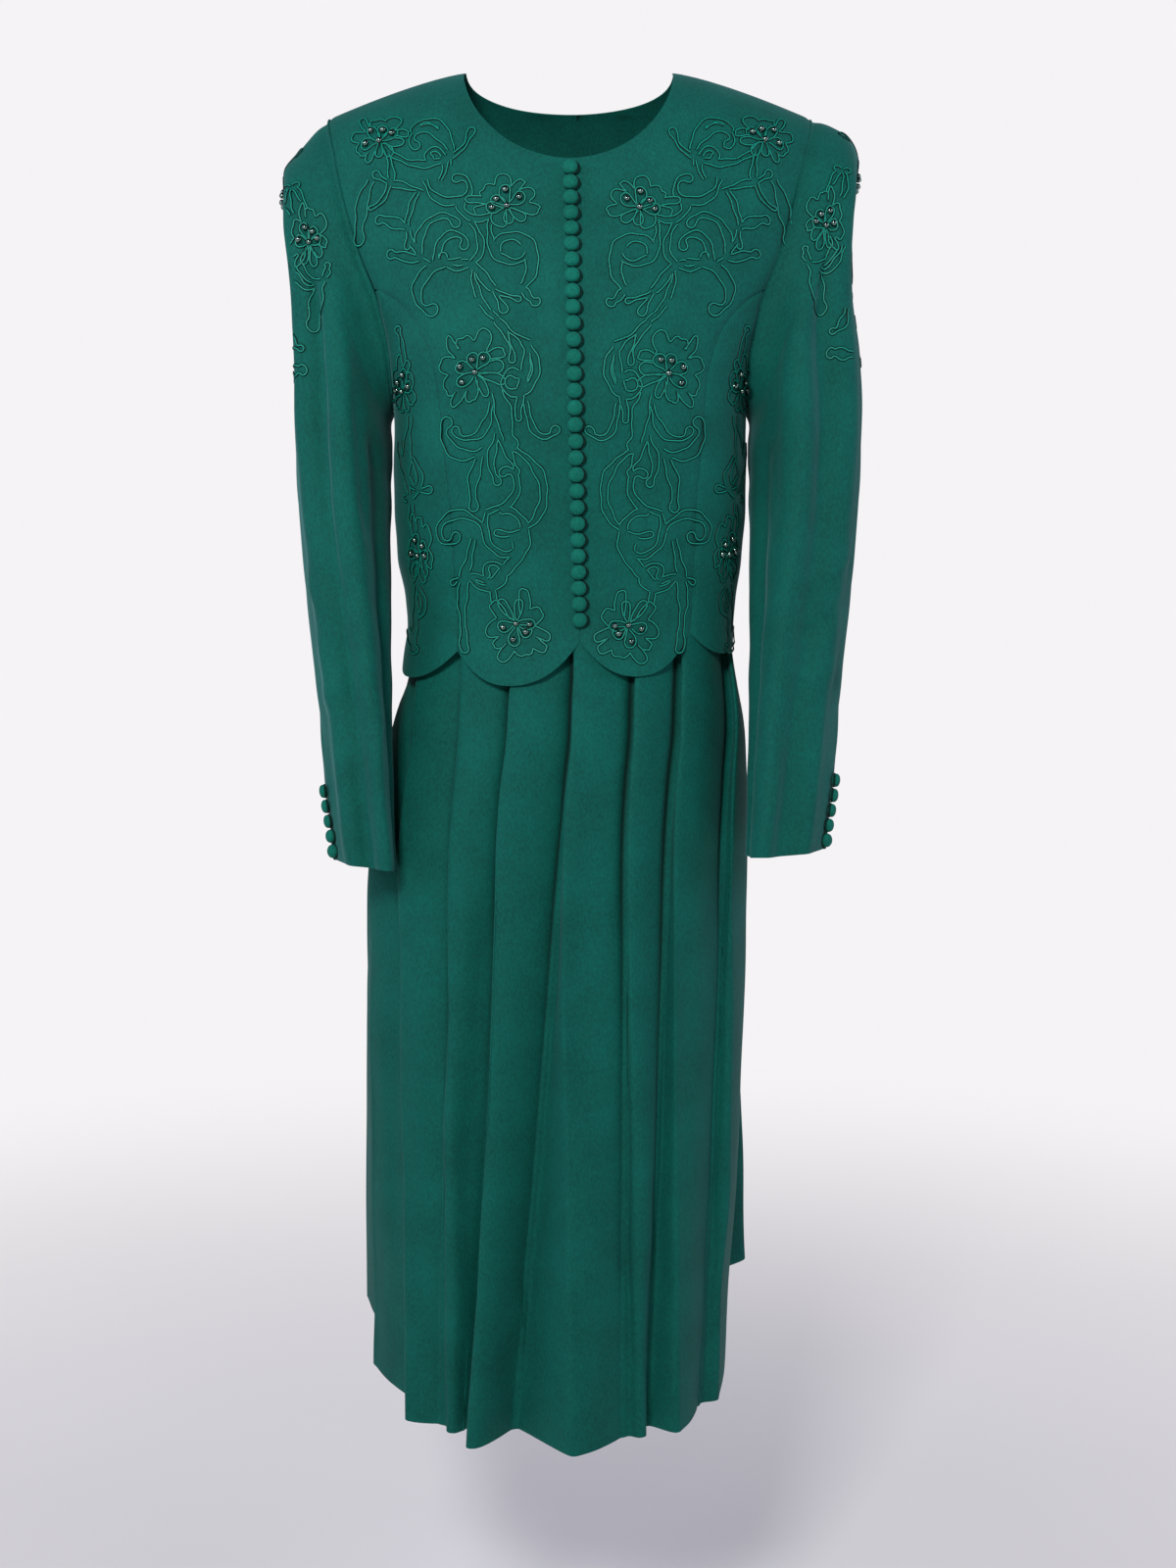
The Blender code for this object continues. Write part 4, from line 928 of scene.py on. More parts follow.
@dataclass
class Sleeve:
    """A long one-piece sleeve with a full cap, which hangs empty and straight.

    A turn runs round it from 0 on its outer side through the front and back again. Its flat
    coordinates, which creases and cord lie in, are the turn times flat_round and the distance
    down it.
    """

    side: Side
    crepe: bpy.types.Material
    edges: tuple[tuple[float, ...], ...]
    lines: tuple[Crease, ...]
    wall: float = 0.0013
    columns: int = 132
    rings: int = 150
    edge_samples: int = 120
    flat_round: float = 0.340
    blend_rows: float = 4.0
    fold_ease: float = 0.15
    crease_fade: float = 0.03
    seam_out: float = 0.6
    seam_place: float = 0.002
    seam_reach: float = 0.0035
    seam_sink: float = 0.0016
    cuff_reach: float = 0.006
    cuff_sink: float = 0.0006
    cut: SheetCut = SheetCut(0.380, 0.640, 0.1570, "hung")
    ripples: tuple[Ripple, ...] = (
        Ripple(0.25, 0.071, 0.9, 0.00060), Ripple(1.45, 0.092, 2.2, 0.00060),
        Ripple(2.20, 0.047, 3.4, 0.00030))

    def armhole(self) -> tuple[Array, Array, Array, Array]:
        """Return the armhole's edge at even turns: points, normals, outward seam line, turns.

        The edge runs from the shoulder tip down the front to the underarm and up the back.
        """
        share = np.sin(np.linspace(0.0, math.pi / 2.0, self.edge_samples))
        front = FORM.underarm * share
        back = FORM.underarm * share[::-1][1:]
        angles = self.side.value * np.concatenate(
            [FORM.armhole(front), math.pi - FORM.armhole(back)])
        levels = np.concatenate([front, back])
        line = FORM.surface(angles, levels)
        run = even_run(line)
        half = run[len(front) - 1]
        turns = np.where(run <= half, 0.5 * run / half,
                         0.5 + 0.5 * (run - half) / (run[-1] - half))
        wanted = np.linspace(0.0, 1.0, self.columns, endpoint=False)
        angle = np.interp(wanted, turns, angles)
        level = np.interp(wanted, turns, levels)
        points = FORM.surface(angle, level)
        points[:, 1] += np.where(wanted < 0.5, -0.5, 0.5) * SEAM_GAP
        normals = FORM.normal(angle, level)
        along = np.roll(points, -1, axis=0) - np.roll(points, 1, axis=0)
        return points, normals, self.side.value * unit(np.cross(normals, along)), wanted

    def oval_rings(self, turns: Array) -> Array:
        """Return the sleeve's rings without folds: each an oval between its outer and inner point.

        A point is the middle plus the outer reach times the cosine, less the depth times the
        sine. A row has its outer x and z and its inner x and z, and then from the table that
        both sleeves share its depth, how far it hangs forward and how far it twists.
        """
        table = np.hstack([self.edges, SLEEVE_TABLE])
        places = np.arange(len(table), dtype=float)
        fine = np.linspace(0.0, places[-1], self.rings)
        outer_x, outer_z, inner_x, inner_z, depth, forward, twist = (
            smooth_curve(places, column)(fine) for column in table.T)
        sign = self.side.value
        outer = np.stack([sign * outer_x, -forward, outer_z], axis=1)
        inner = np.stack([sign * inner_x, -forward, inner_z], axis=1)
        reach = np.stack([sign * twist, np.ones_like(twist), np.zeros_like(twist)], axis=1)
        centre = 0.5 * (outer + inner)
        swing = 2.0 * math.pi * turns[None, :, None]
        return (centre[:, None] + (outer - centre)[:, None] * np.cos(swing)
                - (reach * depth[:, None])[:, None] * np.sin(swing))

    def folds(self, turns: Array, share: Array) -> Array:
        """Return the height of the soft lengthwise folds, each a bell curve of the turn.

        A fold has its turn, width and height, and the shares of the length where it starts
        and ends.
        """
        heights = np.zeros((len(share), len(turns)))
        for turn, width, height, starts, ends in SLEEVE_FOLDS:
            away = np.abs((turns - turn + 0.5) % 1.0 - 0.5) / width
            grows = smooth_step((share - starts) / self.fold_ease)
            fades = 1.0 - smooth_step((share - ends) / self.fold_ease)
            heights += height * np.exp(-away ** 2)[None] * (grows * fades)[:, None]
        return heights

    def shape(self) -> tuple[Grid, Array]:
        """Return the sleeve's creased net and its outward normals."""
        edge, edge_normal, edge_out, turns = self.armhole()
        rings = self.oval_rings(turns)
        places = np.linspace(0.0, len(self.edges) - 1.0, self.rings)
        keep = np.clip(1.0 - places / self.blend_rows, 0.0, None) ** 2
        rings = rings + (edge - rings[0])[None] * keep[:, None, None]
        away = edge_out * self.seam_out + edge_normal * (1.0 - self.seam_out)
        rings[0] = edge + away * SEAM_GAP
        outward = rings - rings.mean(axis=1, keepdims=True)
        grid = Grid(rings, closed=True)
        share = places / places[-1]
        grid = grid.lifted(self.folds(turns, share), grid.normals(outward))
        steps = np.linalg.norm(np.diff(grid.points, axis=0), axis=2).mean(axis=1)
        down = np.concatenate([[0.0], np.cumsum(steps)])
        flat = np.stack(np.broadcast_arrays(
            turns[None] * self.flat_round, down[:, None]), axis=-1)
        height = crease_heights(flat, self.lines) + ripple_heights(flat, self.ripples)
        sewn = np.exp(-((down - self.seam_place) / self.seam_reach) ** 2)
        height = height * smooth_step(down / self.crease_fade)[:, None]
        height = height - self.seam_sink * sewn[:, None]
        height[0] = 0.0
        cuff = np.clip((down - down[-1]) / self.cuff_reach + 1.0, 0.0, 1.0) ** 2
        height = height - self.cuff_sink * cuff[:, None]
        lifted = grid.lifted(height, grid.normals(outward))
        return lifted, lifted.normals(outward)

    def build(self) -> tuple[Grid, Array]:
        """Build the sleeve and return its net and normals, which buttons and cord lie on."""
        grid, normals = self.shape()
        word = self.side.word
        make_cloth(f"sleeve_{word}_cloth", [grid], normals, self.wall, self.crepe,
                   (f"sleeve_{word}",))
        return grid, normals


SKIRT_TABLE = Table("centre half_width front widest back squareness", (
    (-0.425, 0.000, 0.1316, -0.0815, 0.000, 0.0640, 2.20),
    (-0.450, 0.000, 0.1315, -0.0820, 0.001, 0.0642, 2.20),
    (-0.470, 0.000, 0.1340, -0.0838, 0.003, 0.0678, 2.20),
    (-0.490, -0.001, 0.1400, -0.0880, 0.008, 0.0770, 2.22),
    (-0.520, -0.002, 0.1490, -0.0945, 0.020, 0.0940, 2.25),
    (-0.560, -0.006, 0.1575, -0.1010, 0.036, 0.1140, 2.30),
    (-0.610, -0.009, 0.1645, -0.1075, 0.052, 0.1350, 2.35),
    (-0.670, -0.010, 0.1675, -0.1130, 0.067, 0.1550, 2.40),
    (-0.750, -0.010, 0.1680, -0.1187, 0.085, 0.1765, 2.45),
    (-0.855, -0.010, 0.1675, -0.1257, 0.106, 0.1990, 2.52),
    (-0.965, -0.011, 0.1650, -0.1333, 0.127, 0.2190, 2.58),
    (-1.0806, -0.012, 0.1620, -0.1400, 0.150, 0.2400, 2.60)))


class Pleat(NamedTuple):
    """A knife pleat, in distances round the skirt from the centre front towards +X.

    edge is its fold at the waist. foot and crest are where its hollow and its fold reach the
    hem, and rise is how far apart they stand there. A front pleat drifts slowly at first, and
    a back pleat spreads as fast as the skirt widens, so it hangs straight.
    """

    edge: float
    foot: float
    crest: float
    rise: float


# The skirt's rows are rounded this many times, and each time every point becomes two.
ROUNDINGS = 2
ROUNDING = 2 ** ROUNDINGS


@dataclass
class Skirt:
    """The knife-pleated skirt: cloth all round the figure, seamed at the sides and the back."""

    crepe: bpy.types.Material
    wall: float = 0.0011
    waist: float = -0.425
    hem: float = -1.0806
    back_lift: float = 0.036
    lift_starts: float = -0.05
    lift_run: float = 0.28
    lift_power: float = 1.5
    hem_tilt: float = 0.078
    seam_panels: tuple[int, int, int] = (7, 10, 13)
    panel_shares: tuple[float, float] = (0.25, 0.5)
    seam_share: float = 0.5
    groove_back: float = 0.0024
    groove_starts: float = 2.5
    groove_sinks: float = 2.0
    groove_fade: float = 0.6
    groove_sink: float = 0.0046
    tangent_reach: float = 0.004
    layer_pitch: float = 0.0044
    waist_lap: float = 0.012
    lap_power: float = 1.5
    fold_radius: float = 0.0045
    fold_opens_over: float = 6.0
    drift_power: float = 1.6
    back_starts: float = 0.2
    rise_power: float = 1.2
    rows: int = 96
    samples: int = 1441
    side_blend: float = 1.2
    ripple_round: float = 1.4
    crease_starts: float = 0.05
    crease_fade: float = 0.10
    column_width: float = 0.0022
    seam_reach: float = 0.003
    seam_sink: float = 0.0007
    # The painted shade along the folds: its reach in columns and where it fades down the skirt.
    slit_shade_reach: float = 1.7
    slit_shade_fades: tuple[float, float] = (0.20, 0.60)
    pleats: tuple[Pleat, ...] = (
        Pleat(-0.186, -0.262, -0.235, 0.018), Pleat(-0.140, -0.147, -0.127, 0.026),
        Pleat(-0.089, -0.098, -0.087, 0.008), Pleat(-0.047, -0.071, -0.061, 0.040),
        Pleat(0.003, -0.033, 0.015, 0.048), Pleat(0.052, 0.061, 0.071, 0.008),
        Pleat(0.092, 0.085, 0.099, 0.026), Pleat(0.158, 0.152, 0.166, 0.012),
        Pleat(0.214, 0.390, 0.414, 0.056), Pleat(0.262, 0.470, 0.492, 0.036),
        Pleat(0.309, 0.545, 0.560, 0.030), Pleat(0.355, 0.615, 0.640, 0.038),
        Pleat(0.401, 0.700, 0.718, 0.032), Pleat(0.448, 0.795, 0.822, 0.040))
    cuts: dict[str, SheetCut] = field(default_factory=lambda: {
        "front": SheetCut(0.670, 0.660, 0.4300, "gathered"),
        "back_left": SheetCut(0.320, 0.660, 0.2000, "gathered"),
        "back_right": SheetCut(0.320, 0.660, 0.2000, "gathered")})
    front_creases: tuple[Crease, ...] = creases(
        (-108, -640, -120, -800, -113, -960, 11.0, 3.0), (-62, -600, -72, -760, -82, -930, 12.0, -2.9),
        (-95, -740, -96, -880, -89, -1060, 8.5, 3.6), (16, -560, 10, -700, 18, -880, 13.0, -3.3),
        (46, -690, 60, -830, 52, -1040, 10.5, 3.0), (85, -620, 96, -770, 90, -910, 10.0, -2.5),
        (128, -660, 134, -820, 125, -1000, 11.0, 3.2), (-140, -700, -148, -850, -141, -1000, 9.0, -2.7),
        (-40, -950, -37, -1010, -41, -1060, 7.0, 2.7))
    back_creases: tuple[Crease, ...] = creases(
        (-110, -640, -122, -820, -116, -990, 12.0, 2.6), (-60, -560, -66, -730, -58, -900, 13.0, -2.4),
        (-18, -680, -10, -850, -20, -1010, 11.0, 2.2), (34, -590, 45, -760, 36, -960, 14.0, -2.6),
        (78, -700, 90, -860, 84, -1020, 11.0, 2.3), (118, -600, 126, -740, 120, -880, 12.0, 2.0))
    ripples: tuple[Ripple, ...] = (
        Ripple(0.10, 0.093, 0.3, 0.00060), Ripple(0.22, 0.052, 2.0, 0.00032),
        Ripple(1.40, 0.160, 1.1, 0.00070))

    def ring(self, height: float) -> tuple[Array, Array]:
        """Return a superellipse section at a height, and the run along it from the front."""
        angles = np.linspace(-math.pi, math.pi, self.samples)
        power = 2.0 / SKIRT_TABLE("squareness", height)
        cosine = np.cos(angles)
        widest = SKIRT_TABLE("widest", height)
        reach = np.where(cosine >= 0.0, widest - SKIRT_TABLE("front", height),
                         SKIRT_TABLE("back", height) - widest)
        across = SKIRT_TABLE("half_width", height) * signed_power(np.sin(angles), power)
        x = SKIRT_TABLE("centre", height) + across
        y = widest - reach * signed_power(cosine, power)
        points = np.stack([x, y], axis=1)
        run = even_run(points)
        return points, run - np.interp(0.0, angles, run)

    def pleat_places(self, pleat: Pleat, fall: float,
                     widened: float) -> list[tuple[float, float]]:
        """Return the six places that turn the cloth under and back over at one pleat."""
        drift = widened if pleat.edge > self.back_starts else fall ** self.drift_power
        half = self.layer_pitch / 2.0
        radius = half + (self.fold_radius - half) * fall
        rise = self.layer_pitch + (pleat.rise - self.layer_pitch) * fall ** self.rise_power
        lap = self.waist_lap * (1.0 - fall) ** self.lap_power
        foot = pleat.edge + (pleat.foot - pleat.edge) * drift + lap
        crest = pleat.edge + (pleat.crest - pleat.edge) * drift
        opened = float(smooth_step(0.5 + (crest - foot) / (self.fold_opens_over * radius)))
        way = 2.0 * opened - 1.0
        layer = half * (1.0 - opened)
        dip = 0.5 * radius * opened
        return [(foot - radius, -0.5 * rise - layer + dip), (foot, -0.5 * rise),
                (foot + radius * way, -0.5 * rise + layer + dip),
                (crest - radius * way, 0.5 * rise - layer - dip), (crest, 0.5 * rise),
                (crest + radius, 0.5 * rise + layer - dip)]

    def section(self, height: float) -> tuple[Array, list[int]]:
        """Return the middle line of the cloth round one height, and its three seam points.

        Between pleats a panel runs from a fold to the next hollow in an eased line.
        """
        points, run = self.ring(height)
        fall = (self.waist - height) / (self.waist - self.hem)
        narrow, wide = (np.ptp(self.ring(end)[1]) for end in (self.waist, self.hem))
        widened = (np.ptp(run) - narrow) / (wide - narrow)
        folds = [self.pleat_places(pleat, fall, widened) for pleat in self.pleats]
        places: list[tuple[float, float]] = []
        seams = []
        for index, fold in enumerate(folds):
            following = folds[(index + 1) % len(folds)][0]
            if index == len(folds) - 1:
                following = (following[0] + run[-1] - run[0], following[1])
            places.extend(fold)
            start = fold[-1]
            crest = folds[(index + 1) % len(folds)][4][0]
            if index == len(folds) - 1:
                crest += run[-1] - run[0]
            brink = (min(crest, following[0]) - start[0]) / (following[0] - start[0])
            groove = self.groove_back / (following[0] - start[0])
            sink = self.groove_sink * (1.0 - self.groove_fade * fall)
            for share in (*self.panel_shares, brink - self.groove_starts * groove, brink - groove):
                eased = 0.5 * (share + float(smooth_step(share)))
                sunk = sink if share > brink - self.groove_sinks * groove else 0.0
                if index in self.seam_panels and share == self.seam_share:
                    seams.append(len(places))
                places.append((start[0] + (following[0] - start[0]) * share,
                               start[1] + (following[1] - start[1]) * eased - sunk))
        along, out = np.array(places).T
        length = run[-1] - run[0]

        def on_ring(place: Array) -> Array:
            """Return the ring's points at distances from the centre front."""
            wrapped = (place - run[0]) % length + run[0]
            return np.stack([np.interp(wrapped, run, points[:, axis]) for axis in (0, 1)], axis=1)

        tangent = unit(on_ring(along + self.tangent_reach) - on_ring(along - self.tangent_reach))
        outward = np.stack([tangent[:, 1], -tangent[:, 0]], axis=1)
        return on_ring(along) + outward * out[:, None], seams

    def rounded(self, rows: Array) -> Array:
        """Return closed rows with twice the points, rounded as a cubic spline is.

        An old point becomes an eighth, six eighths and an eighth of itself and its
        neighbours, and a new one is the middle of two.
        """
        before = np.roll(rows, 1, axis=1)
        after = np.roll(rows, -1, axis=1)
        finer = np.empty((rows.shape[0], 2 * rows.shape[1], rows.shape[2]))
        finer[:, 0::2] = (before + 6.0 * rows + after) / 8.0
        finer[:, 1::2] = 0.5 * (rows + after)
        return finer

    def slit_shades(self, columns: int, fall: Array) -> Array:
        """Return how much painted shade each point gets along the gap under a fold, from 0 to 1.

        The painted shade is a bell curve of the columns from the last place before a fold.
        It fades smoothly down the skirt, as the fold opens.
        """
        each = columns // len(self.pleats)
        away = (np.arange(columns) + ROUNDING) % each
        bell = np.exp(-(np.minimum(away, each - away) / self.slit_shade_reach) ** 2)
        return bell * (1.0 - smooth_step((fall - self.slit_shade_fades[0]) / self.slit_shade_fades[1]))

    def shape(self) -> tuple[Array, Array, Array, list[int]]:
        """Return the skirt's outer points and normals, their painted fold shade and the seam columns.
        """
        heights = np.linspace(self.waist, self.hem, self.rows)
        sections = [self.section(height) for height in heights]
        middle = np.array([section for section, _ in sections])
        seams = sections[0][1]
        fall = ((self.waist - heights) / (self.waist - self.hem))[:, None]
        tilt = self.hem_tilt * middle[..., 0] * (1.0 - fall) ** 2
        behind = np.clip((middle[..., 1] - self.lift_starts) / self.lift_run, 0.0, 1.0)
        lift = tilt + self.back_lift * behind ** self.lift_power * fall
        net = np.dstack([middle, heights[:, None] + lift])
        for _ in range(ROUNDINGS):
            net = self.rounded(net)
        ahead = np.roll(net, -1, axis=1) - np.roll(net, 1, axis=1)
        flat = unit(np.stack([ahead[..., 1], -ahead[..., 0], np.zeros(net.shape[:2])], axis=-1))
        net = net + flat * 0.5 * self.wall
        grid = Grid(net, closed=True)
        normals = grid.normals(flat)
        facing = smooth_step(0.5 - self.side_blend * flat[..., 1])
        places = np.ascontiguousarray(net[..., (0, 2)])
        run = np.broadcast_to(np.linspace(0.0, self.ripple_round, net.shape[1]), net.shape[:2])
        height = crease_heights(places, self.front_creases) * facing
        height += crease_heights(places, self.back_creases) * (1.0 - facing)
        height += ripple_heights(np.stack([run, net[..., 2]], axis=-1), self.ripples)
        height *= smooth_step((self.waist - self.crease_starts - net[..., 2]) / self.crease_fade)
        columns = [ROUNDING * seam for seam in seams]
        for column in columns:
            away = np.abs(np.arange(net.shape[1]) - column)[None] * self.column_width
            height = height - self.seam_sink * np.exp(-(away / self.seam_reach) ** 2)
        lifted = grid.lifted(height, normals)
        return lifted.points, normals, self.slit_shades(net.shape[1], fall), columns

    def build(self) -> None:
        """Build the front and the two halves of the back, which meet at three seams."""
        points, normals, slit_shades, seams = self.shape()
        columns = np.arange(points.shape[1])
        right, centre, left = seams
        pieces = (("front", np.concatenate([columns[left:], columns[:right + 1]])),
                  ("back_right", columns[right:centre + 1]),
                  ("back_left", columns[centre:left + 1]))
        for word, chosen in pieces:
            make_cloth(f"skirt_{word}_cloth", [Grid(points[:, chosen])], normals[:, chosen],
                       self.wall, self.crepe, (f"skirt_{word}",),
                       slit_shades[:, chosen])


@dataclass
class CoveredButtons:
    """Buttons covered in crepe, in a row, each caught by a loop on its right-hand side."""

    crepe: bpy.types.Material
    # The loops' crepe is drawn near-black: painted shade round the buttons.
    shaded_loop_crepe: bpy.types.Material
    radius: float
    height: float
    sides: int = 28
    puckers: int = 9
    pucker_depth: float = 0.00022
    pucker_top: float = 0.62
    dent: float = 0.010
    cord_radius: float = 0.00085
    cord_sides: int = 8
    loop_points: int = 19
    loop_turn: float = math.radians(118.0)
    loop_reach: float = 0.0011
    loop_back: float = 0.80
    loop_sink: float = 0.0004
    loop_base: float = 0.0005
    loop_rise: float = 0.0010

    def profile(self) -> Array:
        """Return rings from the foot over the rim to the top, as shares of radius and height."""
        return np.array([
            (0.02, 0.000), (0.55, 0.000), (0.80, 0.090), (0.95, 0.240), (1.00, 0.400),
            (0.975, 0.560), (0.89, 0.720), (0.74, 0.850), (0.54, 0.935), (0.30, 0.985),
            (0.02, 1.000)])

    def dome(self, number: int) -> Array:
        """Return one button's rings at the origin: the profile turned, drawn in at puckers.

        The radius shrinks by a cosine of the turn, most at the foot, where the cloth is gathered.
        """
        turns = np.linspace(0.0, 2.0 * math.pi, self.sides, endpoint=False)
        rings = self.profile()
        reach = rings[:, :1] * self.radius
        gather = np.clip(1.0 - rings[:, 1:] / self.pucker_top, 0.0, 1.0)
        reach = reach - self.pucker_depth * gather * (
            1.0 + np.cos(self.puckers * turns + 1.7 * number))[None]
        dent = 1.0 - self.dent * np.cos(2.0 * turns + 2.1 * number)[None]
        x = reach * dent * np.cos(turns)
        y = reach * dent * np.sin(turns)
        z = np.broadcast_to(rings[:, 1:] * self.height, x.shape)
        return np.stack([x, y, z], axis=-1)

    def loop_path(self) -> Array:
        """Return the loop's middle line at the origin: most of an oval, wider to the right."""
        turns = np.linspace(-self.loop_turn, self.loop_turn, self.loop_points)
        reach_x = np.where(np.cos(turns) > 0.0, self.radius + self.loop_reach,
                           self.radius * self.loop_back)
        x = reach_x * np.cos(turns)
        y = (self.radius - self.loop_sink) * np.sin(turns)
        rise = self.loop_rise * np.clip(np.cos(turns), 0.0, 1.0)
        z = self.cord_radius + self.loop_base + rise
        return np.stack([x, y, z], axis=-1)

    def build(self, name: str, places: Array, facings: Array, rights: Array,
              nodes: tuple[str, ...]) -> None:
        """Build a row of buttons as one mesh and their loops as another.

        Args:
            name: the row's name.
            places: the point on the cloth under each button.
            facings: the outward normals there.
            rights: the way that each loop reaches round its button.
            nodes: the solids that the row stands for.
        """
        rights = unit(rights - facings * (rights * facings).sum(axis=1, keepdims=True))
        ups = np.cross(facings, rights)
        frames = np.stack([rights, ups, facings], axis=1)
        domes = np.array([self.dome(number) for number in range(len(places))])
        points = np.einsum("nrsk,nkd->nrsd", domes, frames) + places[:, None, None]
        piece = fill_mesh(name, *tube_faces(points), self.crepe)
        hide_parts(*nodes)
        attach(piece, "root")
        rings = round_section(self.loop_path(), self.cord_radius, self.cord_sides)
        loops = np.einsum("rsk,nkd->nrsd", rings, frames) + places[:, None, None]
        loop = fill_mesh(f"{name}_loops", *tube_faces(loops), self.shaded_loop_crepe)
        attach(loop, "root")
        log.info("%s: %d buttons with loops", name, len(places))


def tube_faces(points: Array) -> tuple[Array, Array]:
    """Join many tubes of rings into one mesh, each end closed by strips across its ring.

    Args:
        points: shape (tubes, rings, sides, 3), with an even number of sides.

    Returns:
        All points, and the faces between the rings and at the ends.
    """
    tubes, rings, sides = points.shape[:3]
    tube, ring, side = np.meshgrid(
        np.arange(tubes), np.arange(rings - 1), np.arange(sides), indexing="ij")
    start = (tube * rings + ring) * sides
    here = (start + side).ravel()
    beside = (start + (side + 1) % sides).ravel()
    walls = np.stack([here, beside, beside + sides, here + sides], axis=1)
    half = np.arange(sides // 2 - 1)
    strips = np.stack([half, half + 1, sides - 2 - half, sides - 1 - half], axis=1)
    first = np.arange(tubes)[:, None, None] * rings * sides
    last = first + (rings - 1) * sides
    ends = [(first + strips[None, :, ::-1]).reshape(-1, 4), (last + strips[None]).reshape(-1, 4)]
    return points.reshape(-1, 3), np.concatenate([walls, *ends])


def round_section(path: Array, radius: float, sides: int) -> Array:
    """Return rings round a path: at each point a circle square to the path.

    The circle's first direction lies in the flat plane, which keeps it from twisting.
    """
    along = unit(np.gradient(path, axis=0))
    across = unit(np.cross(np.array([0.0, 0.0, 1.0]), along))
    over = np.cross(along, across)
    turns = np.linspace(0.0, 2.0 * math.pi, sides, endpoint=False)[None, :, None]
    circle = across[:, None] * np.cos(turns) + over[:, None] * np.sin(turns)
    return path[:, None] + circle * radius


@dataclass
class FrontButtons:
    """Twenty-nine covered buttons that touch down the centre-front opening."""

    buttons: CoveredButtons
    count: int = 29
    first_level: float = 0.0965
    last_level: float = 0.4475
    samples: int = 400
    clearance: float = 0.0002

    def build(self) -> None:
        """Space the buttons evenly along the opening and build them."""
        levels = np.linspace(self.first_level, self.last_level, self.samples)
        line = FORM.surface(FORM.angle_of(FORM.opening(levels), levels), levels)
        run = even_run(line)
        level = np.interp(np.linspace(0.0, run[-1], self.count), run, levels)
        angle = FORM.angle_of(FORM.opening(level), level)
        facing = FORM.normal(angle, level)
        places = FORM.surface(angle, level) + facing * self.clearance
        places[:, 1] -= 0.5 * SEAM_GAP
        rights = np.broadcast_to(np.array([1.0, 0.0, 0.0]), places.shape)
        nodes = tuple(f"front_button_{number + 1:02d}" for number in range(self.count))
        self.buttons.build("front_buttons", places, facing, rights, nodes)


@dataclass
class CuffButtons:
    """Five covered buttons up the outer side of each cuff."""

    buttons: CoveredButtons
    count: int = 5
    pitch: float = 0.0124
    rise: float = 0.0075

    def build(self, side: Side, line: Array, normals: Array) -> None:
        """Space the buttons along the sleeve's outer line and build them.

        Args:
            side: which sleeve.
            line: the sleeve's outer line from cap to cuff.
            normals: its outward normals.
        """
        run = even_run(line[::-1])
        along = self.rise + self.pitch * np.arange(self.count)
        places = np.stack([np.interp(along, run, line[::-1, axis]) for axis in range(3)], axis=1)
        facing = unit(np.stack(
            [np.interp(along, run, normals[::-1, axis]) for axis in range(3)], axis=1))
        rights = np.broadcast_to(np.array([0.0, -1.0, 0.0]), places.shape)
        nodes = tuple(f"cuff_button_{side.word}_{number + 1}" for number in range(self.count))
        self.buttons.build(f"cuff_buttons_{side.word}", places, facing, rights, nodes)


def sweep(path: Array, normals: Array, profile: Array) -> Array:
    """Carry a profile along a path that lies on cloth.

    At each point the profile's first axis lies across the path in the cloth and its second
    stands up from it.

    Args:
        path: points on the cloth, shape (count, 3).
        normals: the cloth's normals there.
        profile: flat points, anticlockwise as seen from the path's end.

    Returns:
        Rings of points, shape (count, profile points, 3).
    """
    along = unit(np.gradient(path, axis=0))
    across = unit(np.cross(along, normals))
    up = np.cross(across, along)
    return (path[:, None] + across[:, None] * profile[None, :, :1]
            + up[:, None] * profile[None, :, 1:])


def resampled(path: Array, spacing: float) -> Array:
    """Return a flat path along the same corners in even steps, at least six points of it."""
    run = even_run(path)
    count = max(6, int(run[-1] / spacing))
    fine = np.linspace(0.0, run[-1], count)
    return np.stack([np.interp(fine, run, path[:, axis]) for axis in (0, 1)], axis=1)


def inside(points: Array, outline: Array) -> Array:
    """Return which flat points lie in a closed outline, by the odd number of edges crossed."""
    x = points[:, :1]
    z = points[:, 1:]
    last = np.roll(outline, -1, axis=0)
    spans = (outline[:, 1] > z) != (last[:, 1] > z)
    rise = last[:, 1] - outline[:, 1]
    slope = (last[:, 0] - outline[:, 0]) / np.where(np.abs(rise) < TINY, TINY, rise)
    return (spans & (x < outline[:, 0] + (z - outline[:, 1]) * slope)).sum(axis=1) % 2 == 1


def merged(outlines: list[Array], holes: list[Array], spacing: float = 0.001,
           shortest: int = 5) -> list[Array]:
    """Return the outer parts of overlapping bands, so that a branch opens into its stem.

    Args:
        outlines: closed flat paths of the bands.
        holes: closed outlines that no band's path enters.
        spacing: the step between points.
        shortest: pieces with fewer points are left out.

    Returns:
        Open flat paths.
    """
    pieces = []
    for number, outline in enumerate(outlines):
        path = resampled(outline, spacing)
        hidden = np.zeros(len(path), dtype=bool)
        for shape in outlines[:number] + outlines[number + 1:] + holes:
            hidden |= inside(path, shape)
        breaks = np.flatnonzero(np.diff(hidden.astype(int))) + 1
        for run in np.split(np.arange(len(path)), breaks):
            if not hidden[run[0]] and len(run) > shortest:
                pieces.append(path[run])
    return pieces


